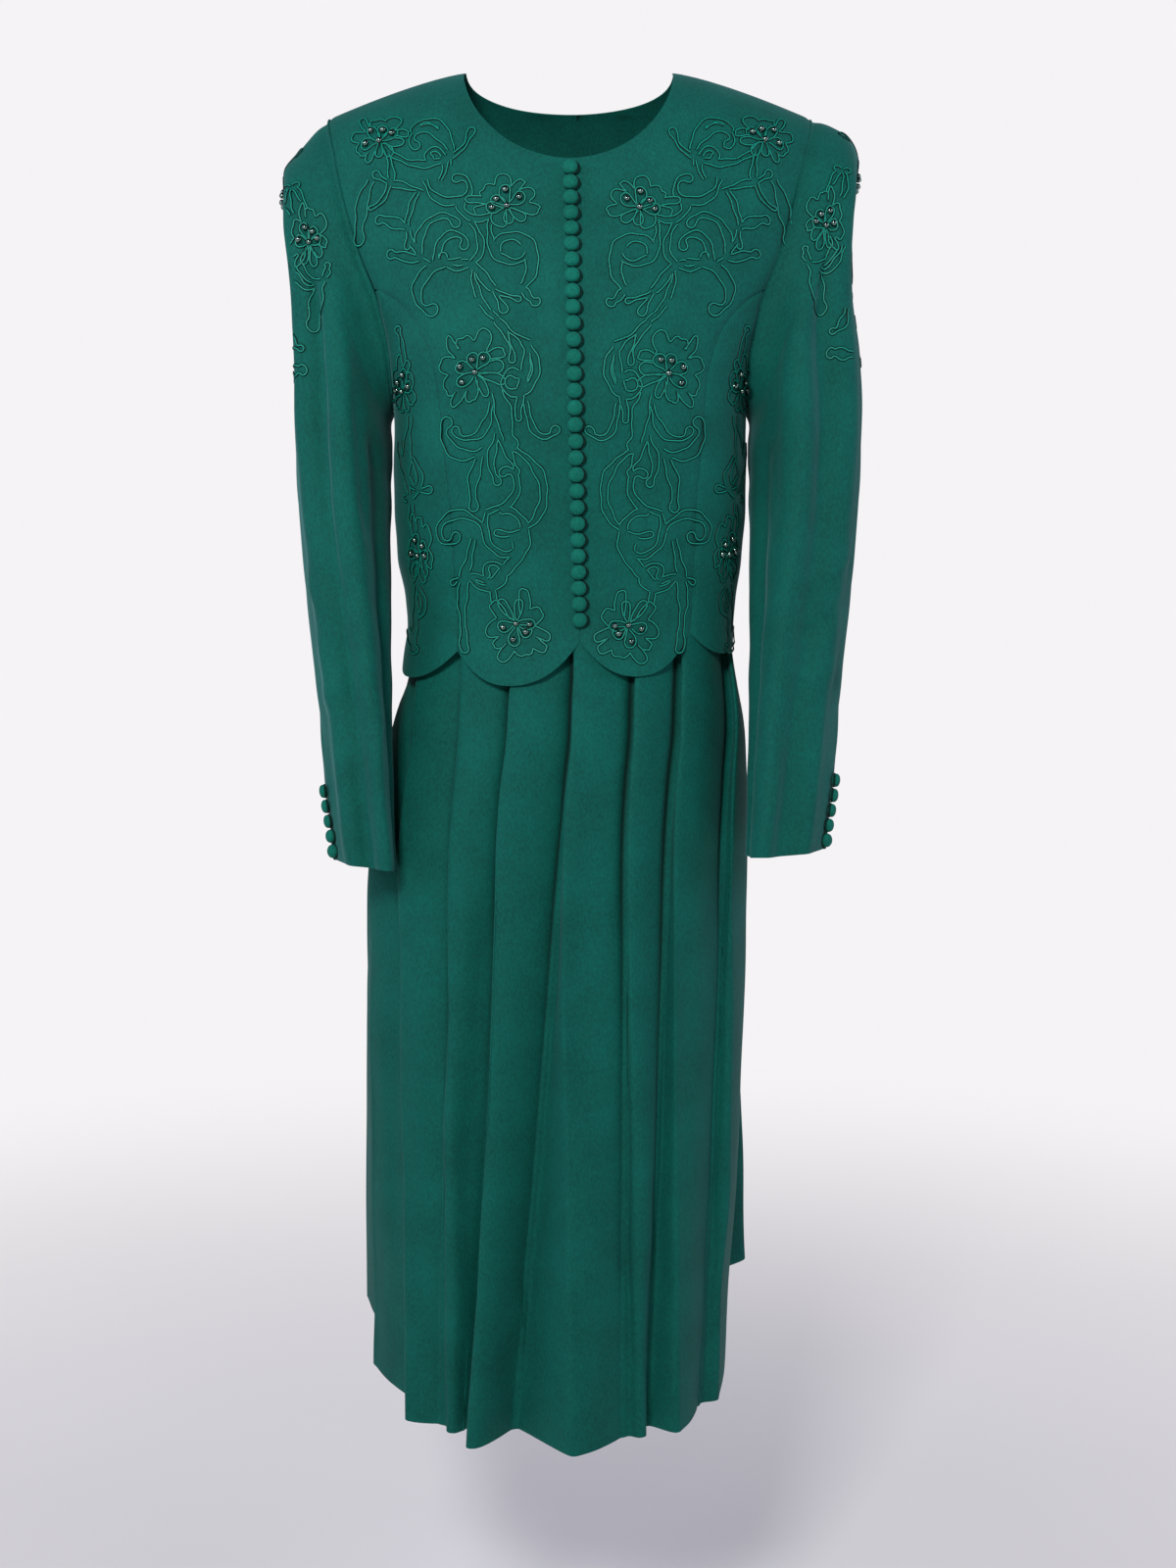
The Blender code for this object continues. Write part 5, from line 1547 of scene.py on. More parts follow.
class Scroll(NamedTuple):
    """A scroll of one cord that runs out, rounds a knob and comes back beside itself.

    Its heading is in degrees from +X towards up. It turns by bend evenly over its length, and
    by curl more and more towards its end. Sizes are in millimetres.
    """

    x: float
    z: float
    heading: float
    length: float
    bend: float
    curl: float
    width: float
    knob: float
    root: float = 3.0

    SAMPLES = 64
    SWELL_OVER = 0.35
    NARROW_FROM = 0.45
    NARROW_OVER = 0.40
    KNOB_OVER = 0.16
    ROUND_END = math.radians(80.0)

    def outline(self) -> Array:
        """Return the cord's flat path: one side of the band, its round end and the other side.

        The heading is the start plus bend times the share plus curl times its cube. The half
        width swells over the first third, narrows from the middle on and ends in the knob.
        """
        share = np.linspace(-self.root / self.length, 1.0, self.SAMPLES)
        turn = np.radians(self.heading + self.bend * share + self.curl * share ** 3)
        step = (self.length + self.root) / (self.SAMPLES - 1)
        way = np.stack([np.cos(turn), np.sin(turn)], axis=1)
        line = np.concatenate([[[0.0, 0.0]], np.cumsum(0.5 * (way[:-1] + way[1:]) * step, axis=0)])
        line = line + np.array([self.x, self.z]) - way[0] * self.root
        side = np.stack([-way[:, 1], way[:, 0]], axis=1)
        swells = 0.55 + 0.45 * smooth_step(share / self.SWELL_OVER)
        narrows = 1.0 - 0.45 * smooth_step((share - self.NARROW_FROM) / self.NARROW_OVER)
        ends = smooth_step((share - 1.0 + self.KNOB_OVER) / self.KNOB_OVER)
        half = 0.62 * self.width * swells * narrows + (1.12 * self.knob - 0.34 * self.width) * ends
        round_end = np.linspace(self.ROUND_END, -self.ROUND_END, 9)[:, None]
        tip = line[-1] + half[-1] * (way[-1] * np.cos(round_end) + side[-1] * np.sin(round_end))
        there = line + side * half[:, None]
        back = line - side * half[:, None]
        return np.concatenate([there, tip, back[::-1]]) * MILLIMETRE


def scrolls(*rows: tuple[float, ...]) -> tuple[Scroll, ...]:
    """Read scrolls from rows: x, z, heading, length, bend, curl, width and knob."""
    return tuple(Scroll(*row) for row in rows)


class Flower(NamedTuple):
    """A couched flower: a wavy outline of notched lobes, five bead loops and two leaves.

    Sizes are in millimetres and leaf_turn in degrees. turn makes each flower's lobes and loops
    unlike the others', and stretch narrows one that is seen from its side.
    """

    x: float
    z: float
    reach_x: float
    reach_z: float
    turn: float
    lobes: int
    leaf_turn: float
    stretch: float = 1.0
    gap: float = 0.36
    heart: float = 4.0
    unlike: float = 0.34

    SAMPLES = 320
    END_HOLLOW = 0.34
    NOTCH_WIDTH = 0.30
    LOBE_POWER = 2.2
    PAST_BEAD = 4.4
    LOOP_WIDTH = 8.4

    def place(self, points: Array, turned: float, sink: float = 0.0) -> Array:
        """Turn flat points, move them sink towards the leaves and set them down, in metres."""
        angle = math.radians(turned)
        leaf = math.radians(self.leaf_turn)
        x = points[:, 0] * math.cos(angle) - points[:, 1] * math.sin(angle) + sink * math.cos(leaf)
        z = points[:, 0] * math.sin(angle) + points[:, 1] * math.cos(angle) + sink * math.sin(leaf)
        return np.stack([self.x + x * self.stretch, self.z + z], axis=1) * MILLIMETRE

    def edge(self) -> Array:
        """Return the wavy outline, open where the leaves and the stem come in.

        Each lobe has its own width, tip, notch and lean. The radius falls from the tip to the
        hollow beside it by the offset's power, and a bell curve notches the tip.
        """
        number = np.arange(self.lobes)
        widths = 1.0 + self.unlike * np.sin(2.1 * number + self.turn)
        ends = np.concatenate([[0.0], np.cumsum(widths)]) / widths.sum()
        share = np.linspace(0.0, 1.0, self.SAMPLES)
        lobe = np.clip(np.searchsorted(ends, share, side="right") - 1, 0, self.lobes - 1)
        offset = 2.0 * (share - ends[lobe]) / (ends[lobe + 1] - ends[lobe]) - 1.0
        tips = 1.0 + 0.13 * np.cos(2.4 * number + self.turn)
        hollows = 0.60 + 0.10 * np.sin(1.7 * np.arange(self.lobes + 1) + self.turn)
        hollows[[0, -1]] = self.END_HOLLOW
        hollow = np.where(offset < 0.0, hollows[lobe], hollows[lobe + 1])
        notch = 0.05 + 0.05 * np.cos(2.9 * lobe + self.turn)
        radius = tips[lobe] - (tips[lobe] - hollow) * np.abs(offset) ** self.LOBE_POWER
        radius = radius - notch * np.exp(-(offset / self.NOTCH_WIDTH) ** 2)
        lean = 0.35 * np.sin(1.9 * lobe + self.turn) * (radius - hollow)
        angle = self.gap + share * 2.0 * (math.pi - self.gap) + lean + math.radians(self.leaf_turn)
        points = np.stack([self.reach_x * radius * np.cos(angle),
                           self.reach_z * radius * np.sin(angle)], axis=1)
        return self.place(points, 0.0)

    def drop(self, turned: float, length: float, width: float) -> Array:
        """Return a teardrop loop from the heart: a half cosine out, and a sine across."""
        share = np.linspace(0.0, 2.0 * math.pi, 40)
        out = 0.5 * length * (1.0 - np.cos(share))
        beside = 0.77 * width * np.sin(share) * np.sin(0.5 * share) ** 1.5
        return self.place(np.stack([out, beside], axis=1), turned, self.heart)

    def bead_turns(self) -> Array:
        """Return the directions of the five bead loops, an uneven fan away from the leaves."""
        fan = np.array([-84.0, -30.0, 27.0, 76.0, 172.0])
        uneven = 8.0 * np.sin(1.3 * np.arange(5) + self.turn)
        return self.leaf_turn + 180.0 + fan + uneven

    def bead_reaches(self) -> Array:
        """Return how far each bead lies from the heart, in millimetres; the last is nearest."""
        reaches = 11.4 + 1.7 * np.sin(2.1 * np.arange(5) + self.turn)
        reaches[-1] = 0.0
        return reaches

    def beads(self) -> Array:
        """Return the bead places, each in the wide end of its loop."""
        return np.array([self.place(np.array([[reach, 0.0]]), turn, self.heart)[0]
                         for turn, reach in zip(self.bead_turns(), self.bead_reaches())])

    def cords(self) -> list[Array]:
        """Return the flat paths of all its cords, in metres."""
        loops = [self.drop(turn, reach + self.PAST_BEAD, self.LOOP_WIDTH)
                 for turn, reach in zip(self.bead_turns()[:-1], self.bead_reaches()[:-1])]
        leaf = 0.80 * self.reach_z
        leaves = [self.drop(self.leaf_turn + 22.0, leaf, 7.0),
                  self.drop(self.leaf_turn - 24.0, 0.84 * leaf, 6.4)]
        return [self.edge(), *loops, *leaves]


FLOWERS = (
    Flower(-151.0, -46.0, 27.0, 20.0, 40.4, 8, -70.0, 0.92),
    Flower(-50.0, -103.0, 27.5, 21.5, 132.1, 8, -62.0),
    Flower(-75.0, -233.0, 28.5, 30.5, 216.3, 9, -42.0),
    Flower(-41.0, -434.0, 26.5, 28.0, 301.2, 9, 104.0),
    Flower(-133.0, -241.0, 22.0, 23.0, 75.5, 7, -82.0, 0.52),
    Flower(-121.0, -371.0, 22.0, 29.0, 166.8, 7, -95.0, 0.55),
)
SCROLLS = scrolls(
    (-146, -54, -52, 88, 112, 20, 4.2, 2.4), (-93, -70, 84, 58, 52, 120, 4.6, 3.0),
    (-93, -60, 112, 50, 64, 150, 6.2, 3.0), (-99, -82, 74, 38, 40, 215, 4.2, 2.6),
    (-146, -56, -58, 56, -70, -40, 3.4, 1.8), (-158, -84, -112, 44, 12, 22, 8.4, 4.0),
    (-117, -92, 158, 38, 26, -60, 4.2, 2.6), (-112, -87, -66, 62, 118, 150, 5.4, 2.8),
    (-119, -94, -124, 44, 62, -26, 3.4, 1.8), (-127, -122, 148, 24, 14, 10, 6.6, 3.4),
    (-116, -146, 172, 24, -12, 14, 6.0, 3.4), (-126, -122, -82, 34, 46, 0, 3.2, 1.4),
    (-115, -147, 112, 58, -108, -70, 5.0, 3.0), (-103, -151, 98, 44, -92, -110, 5.2, 3.0),
    (-57, -113, 206, 34, -58, -60, 5.2, 3.2), (-74, -121, -48, 62, -150, -60, 4.4, 2.8),
    (-61, -121, -102, 62, 104, 128, 4.8, 2.8), (-37, -172, 46, 72, 118, 116, 8.0, 3.6),
    (-37, -172, -44, 15, 6, 0, 5.4, 3.4), (-73, -153, -70, 46, 62, 0, 3.6, 1.6),
    (-87, -150, 176, 64, 96, 92, 7.4, 4.0), (-87, -150, -4, 56, -112, 60, 4.8, 3.0),
    (-74, -160, -86, 72, 84, -36, 4.0, 3.4), (-69, -182, -42, 54, -26, -22, 3.6, 1.8),
    (-30, -216, -60, 74, -112, -230, 5.2, 2.8), (-31, -216, -96, 56, -14, 20, 5.6, 2.4),
    (-54, -254, -74, 38, -10, 8, 11.0, 5.0), (-60, -262, -96, 44, -62, -92, 5.0, 2.8),
    (-69, -297, 198, 48, -98, -58, 7.4, 3.8), (-70, -300, -108, 38, 14, 10, 6.6, 3.6),
    (-57, -286, -104, 34, 6, 50, 5.0, 2.8), (-53, -288, -56, 26, 0, -30, 4.2, 2.6),
    (-33, -262, -82, 40, 30, 130, 4.0, 3.0), (-46, -294, -16, 102, -158, -22, 5.2, 2.0),
    (-62, -342, 14, 50, 62, 130, 4.8, 3.4), (-66, -346, -98, 58, 78, 172, 4.6, 2.8),
    (-64, -397, 28, 78, 52, 108, 7.2, 3.0), (-45, -385, 72, 20, 14, 0, 5.0, 2.6),
    (-68, -354, 128, 68, 132, 176, 5.2, 2.8), (-76, -366, -112, 86, 38, -8, 6.0, 3.2),
    (-60, -398, 152, 34, 44, 20, 4.0, 2.0), (-80, -392, -66, 62, 196, 160, 4.4, 2.6),
    (-58, -396, -112, 38, 72, 0, 4.0, 1.8), (-128, -268, -96, 64, 8, 10, 5.2, 2.4),
    (-137, -286, -84, 50, 22, 70, 4.6, 2.6), (-124, -300, -60, 36, -46, -84, 4.4, 2.4),
    (-131, -226, 96, 28, -22, 44, 4.0, 2.0), (-127, -332, -100, 30, 30, 40, 4.2, 2.2),
    (-125, -402, -96, 46, 10, -14, 4.4, 2.2), (-121, -404, -60, 24, -60, -60, 4.4, 2.6),
    (-133, -437, -70, 15, 0, 0, 6.4, 3.6))
SLEEVE_FLOWERS = (
    Flower(-207.5, -124.0, 24.5, 27.0, 21.7, 8, -86.0, 0.66),
)
SLEEVE_SCROLLS = scrolls(
    (-214, -138, -104, 40, 116, 60, 3.8, 2.0), (-221, -147, -74, 30, 34, 96, 3.6, 2.2),
    (-198, -162, -104, 32, 12, -10, 10.5, 5.0), (-199, -167, -104, 19, 8, 0, 5.4, 2.6),
    (-196, -160, 62, 14, 20, 0, 3.6, 2.0), (-227, -229, 2, 14, 0, 0, 7.0, 4.0),
    (-222, -103, 112, 26, -36, -70, 3.8, 2.2), (-211, -98, 104, 24, 34, 60, 3.6, 2.0),
    (-224, -196, -84, 20, 24, 60, 4.6, 2.4))
CAP_FLOWERS = (
    Flower(-4.0, -84.0, 23.0, 24.0, 250.9, 8, -80.0),
)
CAP_SCROLLS = scrolls(
    (-6, -104, -112, 46, 40, 110, 4.8, 2.8), (0, -106, -66, 50, -46, -96, 4.8, 2.8),
    (-4, -66, 84, 30, 40, 120, 4.2, 2.4), (-4, -142, -92, 48, 16, 60, 9.0, 4.4),
    (12, -140, -80, 44, -30, -130, 4.8, 2.8), (-4, -192, -94, 40, 10, -70, 5.0, 2.8),
    (-24, -128, -100, 42, 24, 90, 4.6, 2.6), (18, -92, 20, 26, -30, -110, 4.4, 2.6))


@dataclass
class Embroidery:
    """Soutache cord couched in flowers and scrolls, and black beads inside the flowers."""

    cord_material: bpy.types.Material
    bead_material: bpy.types.Material
    spacing: float = 0.0013
    cord_half_width: float = 0.00120
    cord_height: float = 0.00088
    bead_radius: float = 0.00255
    bead_hole: float = 0.24
    wander: float = 0.0006
    lap_lift: float = 0.00005
    bead_rings: int = 9
    bead_sides: int = 12
    bead_mouth: float = 0.10
    bead_length: float = 0.96
    bead_dip: float = 0.80
    bead_rise: float = 0.92
    bead_unlike: float = 0.05
    right_shift: float = 0.0032
    right_sway: tuple[float, float] = (0.0016, 0.0014)
    right_sleeve_shift: float = -0.004
    right_sleeve_lift: float = 0.013

    def profile(self) -> Array:
        """Return the cord's section: two cores side by side, so its top dips in the middle."""
        shares = np.array([(-1.0, 0.0), (0.0, -0.15), (1.0, 0.0), (0.86, 0.62), (0.40, 1.0),
                           (0.0, 0.88), (-0.40, 1.0), (-0.86, 0.62)])
        return shares * np.array([self.cord_half_width, self.cord_height])

    def ridge(self) -> Array:
        """Return how much painted light each corner of the section gets: painted shade at its feet, a
        painted highlight on top.
        """
        return np.array([0.0, 0.0, 0.0, 0.0, 0.4, 1.0, 0.4, 0.0])

    def hand_laid(self, path: Array, number: int) -> Array:
        """Return a path with the small wander of a hand, a sum of two slow sines of its run."""
        run = even_run(path)
        along = unit(np.gradient(path, axis=0))
        side = np.stack([-along[:, 1], along[:, 0]], axis=1)
        off = self.wander * (np.sin(run / 0.0051 + 1.7 * number)
                             + 0.6 * np.sin(run / 0.0023 + 2.9 * number))
        return path + side * off[:, None]

    def lay(self, name: str, paths: list[Array], surface: Surface) -> None:
        """Lay cords on a cloth and join them into one mesh.

        Args:
            name: the mesh's name.
            paths: flat paths in metres.
            surface: gives the cloth's points and normals at flat places.
        """
        profile = self.profile()
        points = []
        faces = []
        painted_lights = []
        plaits = []
        total = 0
        for number, path in enumerate(paths):
            path = self.hand_laid(resampled(path, self.spacing), number)
            place, normal = surface(path[:, 0], path[:, 1])
            lifted = place + normal * self.lap_lift * (1 + number % 3)
            rings = sweep(lifted, normal, profile)
            tube_points, tube = tube_faces(rings[None])
            points.append(tube_points)
            faces.append(tube + total)
            painted_lights.append(np.tile(self.ridge(), len(rings)))
            run = np.repeat(even_run(lifted), len(profile))
            plaits.append(np.stack([np.tile(profile[:, 0], len(rings)), run], axis=1))
            total += len(tube_points)
        piece = fill_mesh(name, np.concatenate(points), np.concatenate(faces),
                          self.cord_material)
        mesh = piece.data
        # Each corner's share of painted light and shade is stored on the mesh for the cord's colour.
        ridge = mesh.attributes.new("ridge", "FLOAT", "POINT")
        ridge.data.foreach_set("value", np.concatenate(painted_lights).astype(np.float32))
        corners = np.empty(len(mesh.loops), dtype=np.int32)
        mesh.loops.foreach_get("vertex_index", corners)
        braid = mesh.uv_layers.new(name="braid")
        braid.data.foreach_set(
            "uv", np.concatenate(plaits)[corners].astype(np.float32).ravel())
        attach(piece, "root")
        log.info("%s: %d cords, %d faces", name, len(paths), len(mesh.polygons))

    def bead(self) -> Array:
        """Return a bead at the origin, threaded along X: a sphere that dips in at its hole."""
        polar = np.linspace(0.0, math.pi, self.bead_rings)
        turn = np.linspace(0.0, 2.0 * math.pi, self.bead_sides, endpoint=False)
        radius = np.maximum(np.sin(polar), self.bead_hole)
        radius[[0, -1]] = self.bead_mouth
        reach = np.cos(polar) * self.bead_length
        reach[[0, -1]] = reach[[1, -2]] * self.bead_dip
        rings = np.stack([
            np.broadcast_to(reach[:, None], (self.bead_rings, self.bead_sides)),
            -radius[:, None] * np.sin(turn), radius[:, None] * np.cos(turn)], axis=-1)
        return rings[::-1] * self.bead_radius

    def thread(self, name: str, places: Array, surface: Surface) -> None:
        """Sew beads on a cloth at flat places and join them into one mesh."""
        place, normal = surface(places[:, 0], places[:, 1])
        turn = 1.1 * np.arange(len(places))
        level = unit(np.cross(np.array([0.0, 0.0, 1.0]), normal))
        upright = np.cross(normal, level)
        along = level * np.cos(turn)[:, None] + upright * np.sin(turn)[:, None]
        frames = np.stack([along, np.cross(normal, along), normal], axis=1)
        size = 1.0 + self.bead_unlike * np.sin(2.3 * np.arange(len(places)))
        rings = np.einsum("rsk,nkd->nrsd", self.bead(), frames) * size[:, None, None, None]
        rings = rings + (place + normal * self.bead_radius * self.bead_rise)[:, None, None]
        piece = fill_mesh(name, *tube_faces(rings), self.bead_material)
        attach(piece, "root")
        log.info("%s: %d beads", name, len(places))

    def embroider(self, name: str, flowers: tuple[Flower, ...], bands: tuple[Scroll, ...],
                  surface: Surface) -> None:
        """Work one design: the scrolls merged and kept out of the flowers, then the flowers."""
        paths = merged([band.outline() for band in bands], [flower.edge() for flower in flowers])
        paths += [cord for flower in flowers for cord in flower.cords()]
        self.lay(f"soutache_{name}", paths, surface)
        self.thread(f"beads_{name}", np.concatenate([f.beads() for f in flowers]), surface)

    def dress_front(self, side: Side, bodice: Bodice) -> None:
        """Lay one front's flowers and scrolls; the right front has the left one's, mirrored."""
        right = float(side is Side.RIGHT)
        sway_x, sway_z = self.right_sway

        def surface(x: Array, z: Array) -> tuple[Array, Array]:
            """Return the creased front at a place of the left design or its mirror image."""
            moved = 2.0 * self.right_shift + sway_x * np.sin(z / 0.031)
            return bodice.front_surface(-side.value * x + right * moved,
                                        z + right * sway_z * np.sin(x / 0.027))

        self.embroider(f"front_{side.word}", FLOWERS, SCROLLS, surface)

    def dress_sleeve(self, side: Side, grid: Grid, normals: Array) -> None:
        """Lay a sleeve's front and its cap; the right sleeve has the left one's, mirrored."""
        right = float(side is Side.RIGHT)
        lift = right * self.right_sleeve_lift
        shift = right * self.right_sleeve_shift
        front = NetView(grid.points, normals, (0, 2), np.array([side.value * 0.35, -1.0, 0.0]))
        outer = NetView(grid.points, normals, (1, 2), np.array([side.value, -0.2, 0.0]))

        def front_surface(x: Array, z: Array) -> tuple[Array, Array]:
            """Return the sleeve at places of the front design."""
            return front.at(-side.value * x + shift, z + lift)

        def outer_surface(y: Array, z: Array) -> tuple[Array, Array]:
            """Return the sleeve at places of the cap's design, seen from outside."""
            return outer.at(y, z + lift)

        self.embroider(f"sleeve_{side.word}", SLEEVE_FLOWERS, SLEEVE_SCROLLS, front_surface)
        self.embroider(f"cap_{side.word}", CAP_FLOWERS, CAP_SCROLLS, outer_surface)


class NetView:
    """A net of points seen along one way, on which flat places are found."""

    EDGE_ON = 0.05
    LEAST_AREA = 1e-9
    FURTHEST = 1.5

    def __init__(self, points: Array, normals: Array, axes: tuple[int, int],
                 facing: Array) -> None:
        """Keep the net and mark the part of it that faces the viewer.

        Args:
            points: shape (rows, columns, 3), closed round its rows.
            normals: outward ones.
            axes: the two axes that the view shows.
            facing: the way from the net to the viewer.
        """
        self.points = points
        self.normals = normals
        self.flat = np.ascontiguousarray(points[..., axes])
        self.hidden = (normals @ unit(facing)) < self.EDGE_ON
        self.hidden[[0, -1]] = True

    def at(self, first: Array, second: Array) -> tuple[Array, Array]:
        """Return the net's points and normals at places in the view.

        The nearest point of the net is found, and the rest is solved from the net's steps there.
        """
        columns = self.hidden.shape[1]
        wanted = np.stack([first, second], axis=1)
        candidates = np.flatnonzero(~self.hidden.ravel())
        away = self.flat.reshape(-1, 2)[candidates][None] - wanted[:, None]
        nearest = candidates[(away ** 2).sum(axis=2).argmin(axis=1)]
        row, column = np.divmod(nearest, columns)
        after = (column + 1) % columns
        before = (column - 1) % columns
        across = 0.5 * (self.flat[row, after] - self.flat[row, before])
        down = 0.5 * (self.flat[row + 1, column] - self.flat[row - 1, column])
        miss = wanted - self.flat[row, column]
        area = across[:, 0] * down[:, 1] - across[:, 1] * down[:, 0]
        area = np.where(np.abs(area) < self.LEAST_AREA, self.LEAST_AREA, area)
        step = (miss[:, 0] * down[:, 1] - miss[:, 1] * down[:, 0]) / area
        fall = (across[:, 0] * miss[:, 1] - across[:, 1] * miss[:, 0]) / area
        step = np.clip(step, -self.FURTHEST, self.FURTHEST)[:, None]
        fall = np.clip(fall, -self.FURTHEST, self.FURTHEST)[:, None]
        found = []
        for net in (self.points, self.normals):
            around = 0.5 * (net[row, after] - net[row, before])
            along = 0.5 * (net[row + 1, column] - net[row - 1, column])
            found.append(net[row, column] + around * step + along * fall)
        return found[0], unit(found[1])


@dataclass
class Studio:
    """A camera at the photograph's place, soft lamps and a pale floor."""

    camera_place: tuple[float, float, float] = (0.015, -1.5, -0.433)
    pitch_down: float = math.radians(5.06)
    focal_pixels: float = 1807.0
    picture_height: float = 1600.0
    sensor: float = 36.0
    floor_height: float = -1.42
    floor_half: float = 4.5
    floor_cells: int = 12
    clip: tuple[float, float] = (0.05, 30.0)
    wall_light: float = 1.0
    room_light: float = 0.32
    mirror_light: float = 0.06

    def camera(self) -> None:
        """Create the camera, with its lens worked out from its focal length in pixels."""
        data = bpy.data.cameras.new("view")
        data.sensor_fit = "AUTO"
        data.sensor_width = self.sensor
        data.lens = self.focal_pixels * self.sensor / self.picture_height
        data.clip_start, data.clip_end = self.clip
        camera = bpy.data.objects.new("view", data)
        camera.location = self.camera_place
        camera.rotation_euler = (math.pi / 2.0 - self.pitch_down, 0.0, 0.0)
        bpy.context.scene.collection.objects.link(camera)
        bpy.context.scene.camera = camera

    def lamp(self, name: str, place: tuple[float, float, float], aim: tuple[float, float, float],
             size: float, power: float, colour: str) -> None:
        """Add one square soft lamp that faces a point."""
        data = bpy.data.lights.new(name, "AREA")
        data.shape = "SQUARE"
        data.size = size
        data.energy = power
        data.color = linear(colour)[:3]
        lamp = bpy.data.objects.new(name, data)
        lamp.location = place
        way = Vector(aim) - Vector(place)
        lamp.rotation_euler = way.to_track_quat("-Z", "Y").to_euler()
        bpy.context.scene.collection.objects.link(lamp)

    def floor(self, finish: FloorFinish) -> None:
        """Lay a flat floor under the dress, as a net of wide cells."""
        spans = np.linspace(-self.floor_half, self.floor_half, self.floor_cells + 1)
        x, y = np.meshgrid(spans, spans)
        grid = Grid(np.stack([x, y, np.full_like(x, self.floor_height)], axis=-1))
        piece = fill_mesh("floor", grid.points.reshape(-1, 3), grid.faces(), finish.make())
        piece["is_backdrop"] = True

    def world(self) -> None:
        """Give the scene a pale wall to look at and a dimmer room for all other light."""
        world = bpy.data.worlds.new("studio")
        world.use_nodes = True
        tree = world.node_tree
        path = add_node(tree, "ShaderNodeLightPath").outputs
        room = add_node(tree, "ShaderNodeMapRange", {
            "Value": path["Is Glossy Ray"], "To Min": self.room_light, "To Max": self.mirror_light})
        strength = add_node(tree, "ShaderNodeMapRange", {
            "Value": path["Is Camera Ray"], "To Min": room.outputs[0], "To Max": self.wall_light})
        shade = tree.nodes["Background"]
        shade.inputs["Color"].default_value = linear(FloorFinish().wall)
        tree.links.new(strength.outputs[0], shade.inputs["Strength"])
        bpy.context.scene.world = world
        bpy.context.scene.view_settings.view_transform = "Standard"

    def build(self) -> None:
        """Set up the whole studio."""
        self.camera()
        self.world()
        self.floor(FloorFinish())
        self.lamp("front_key", (-0.42, -1.88, 0.45), (0.0, 0.0, -0.36), 0.42, 39.0, "FCFFFC")
        self.lamp("left_edge", (-1.7, -0.5, 0.2), (0.0, 0.0, -0.35), 1.1, 15.0, "DCE2FF")
        self.lamp("right_edge", (1.7, -0.5, 0.2), (0.0, 0.0, -0.35), 1.1, 14.0, "DCE2FF")
        self.lamp("back_fill", (0.3, 2.6, -0.1), (0.0, 0.0, -0.45), 2.4, 15.0, "F2F6FF")


LEFT_SLEEVE_CREASES = creases(
    (30, 20, 42, 100, 40, 220, 8.5, 2.2), (58, 10, 64, 90, 62, 240, 7.5, -3.0),
    (78, 30, 84, 140, 80, 300, 8.0, 2.8), (112, 20, 110, 120, 116, 260, 9.0, -2.6),
    (20, 270, 52, 300, 92, 292, 8.5, 2.4), (28, 315, 60, 335, 110, 325, 8.0, -2.4),
    (70, 345, 40, 372, 12, 378, 8.0, 2.2), (120, 360, 95, 420, 98, 520, 8.0, 2.4),
    (56, 400, 62, 470, 58, 560, 8.0, -2.2), (150, 60, 140, 160, 150, 300, 11.0, 2.2),
    (200, 100, 215, 220, 205, 360, 12.0, -2.4), (255, 30, 248, 140, 258, 300, 10.0, 2.6),
    (300, 50, 292, 180, 298, 330, 9.5, -2.4), (230, 330, 275, 352, 310, 342, 8.5, 2.2))
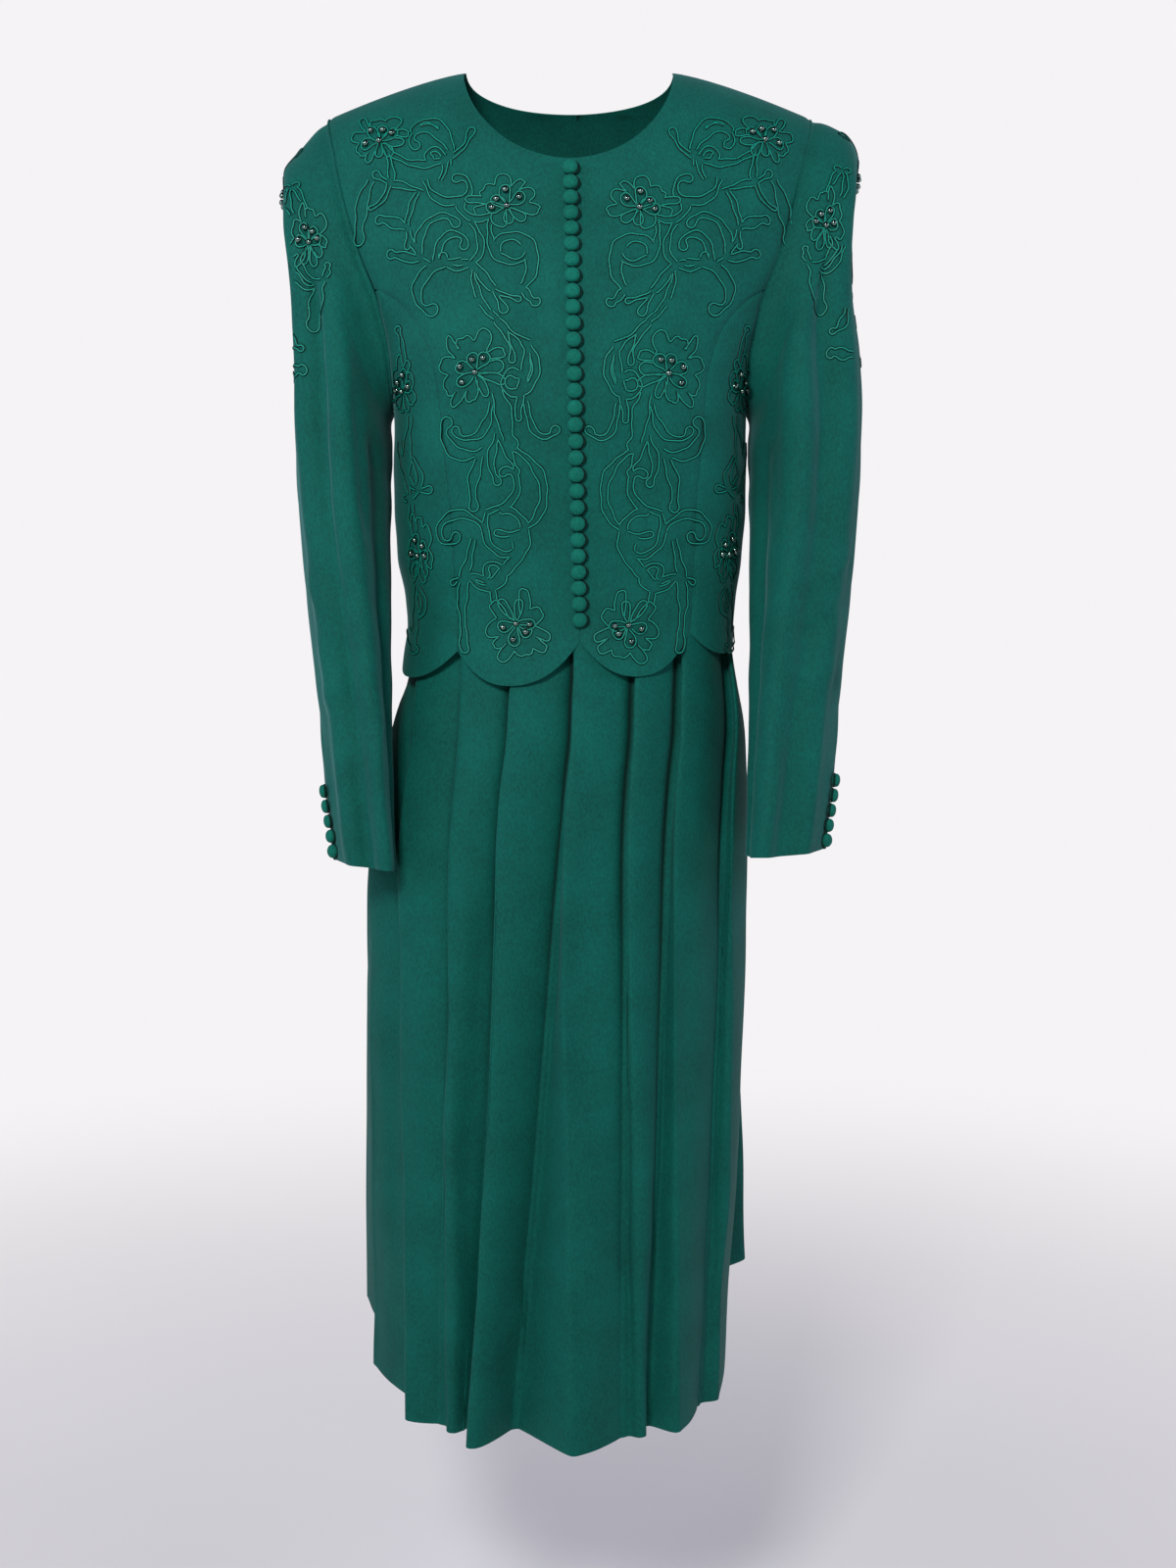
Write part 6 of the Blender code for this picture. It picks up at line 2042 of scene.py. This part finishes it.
RIGHT_SLEEVE_CREASES = creases(
    (34, 20, 46, 120, 42, 250, 9.0, 2.2), (62, 20, 70, 120, 66, 270, 8.0, -2.8),
    (86, 20, 90, 110, 86, 280, 8.5, 2.7), (118, 30, 122, 130, 116, 240, 9.0, -2.4),
    (16, 250, 60, 282, 104, 270, 8.5, 2.5), (22, 300, 66, 322, 98, 316, 8.0, -2.2),
    (96, 335, 54, 360, 20, 352, 8.5, 2.3), (112, 370, 90, 440, 94, 530, 8.5, 2.2),
    (48, 410, 56, 480, 50, 565, 8.0, -2.2), (156, 50, 146, 170, 154, 310, 11.5, 2.2),
    (206, 120, 198, 230, 208, 370, 11.5, -2.4), (262, 40, 254, 150, 262, 290, 10.0, 2.5),
    (306, 40, 300, 160, 306, 310, 9.5, -2.2), (226, 360, 270, 380, 306, 368, 8.5, 2.2))


def flat_bounds() -> list[list[float]]:
    """Return the whole object's box as plain numbers."""
    return [[float(value) for value in corner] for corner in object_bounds()]


def main(solid_box: list[list[float]]) -> None:
    """Build the dress and the studio.

    Args:
        solid_box: the solids' box, taken before anything was built; not used.
    """
    logging.basicConfig(level=logging.INFO, format="%(message)s")
    crepe = CrepeFinish().make()
    pressed = CrepeFinish(name="crepe_pressed", sheen=0.08).make()
    # The buttons' crepe is a lighter copy of the cloth's: painted light on the domes.
    covered = CrepeFinish(name="crepe_on_buttons", deep="044A3F", clear="066052",
                          sheen=0.08, relief_mm=0.12).make()
    # The loops' crepe is a near-black copy of the cloth's: painted shade round the buttons.
    loops = CrepeFinish(name="crepe_loops", deep="011814", clear="02251F", sheen=0.04).make()
    bodice = Bodice(crepe)
    bodice.build()
    sleeves = {
        Side.LEFT: Sleeve(Side.LEFT, crepe, LEFT_SLEEVE_EDGES, LEFT_SLEEVE_CREASES),
        Side.RIGHT: Sleeve(Side.RIGHT, crepe, RIGHT_SLEEVE_EDGES, RIGHT_SLEEVE_CREASES)}
    cuff_buttons = CuffButtons(CoveredButtons(covered, loops, 0.0056, 0.0062))
    embroidery = Embroidery(CordFinish().make(), BeadFinish().make())
    for side, sleeve in sleeves.items():
        grid, normals = sleeve.build()
        cuff_buttons.build(side, grid.points[:, 0], normals[:, 0])
        embroidery.dress_sleeve(side, grid, normals)
        embroidery.dress_front(side, bodice)
    Skirt(pressed).build()
    FrontButtons(CoveredButtons(covered, loops, 0.0061, 0.0070)).build()
    Studio().build()


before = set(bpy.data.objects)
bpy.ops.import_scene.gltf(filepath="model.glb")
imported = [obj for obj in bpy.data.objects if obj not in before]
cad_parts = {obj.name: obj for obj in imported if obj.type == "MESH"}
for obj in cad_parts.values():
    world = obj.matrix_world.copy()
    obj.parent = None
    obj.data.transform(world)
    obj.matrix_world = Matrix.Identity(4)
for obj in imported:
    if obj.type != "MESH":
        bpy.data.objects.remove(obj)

if __name__ == "__main__":
    main(flat_bounds())
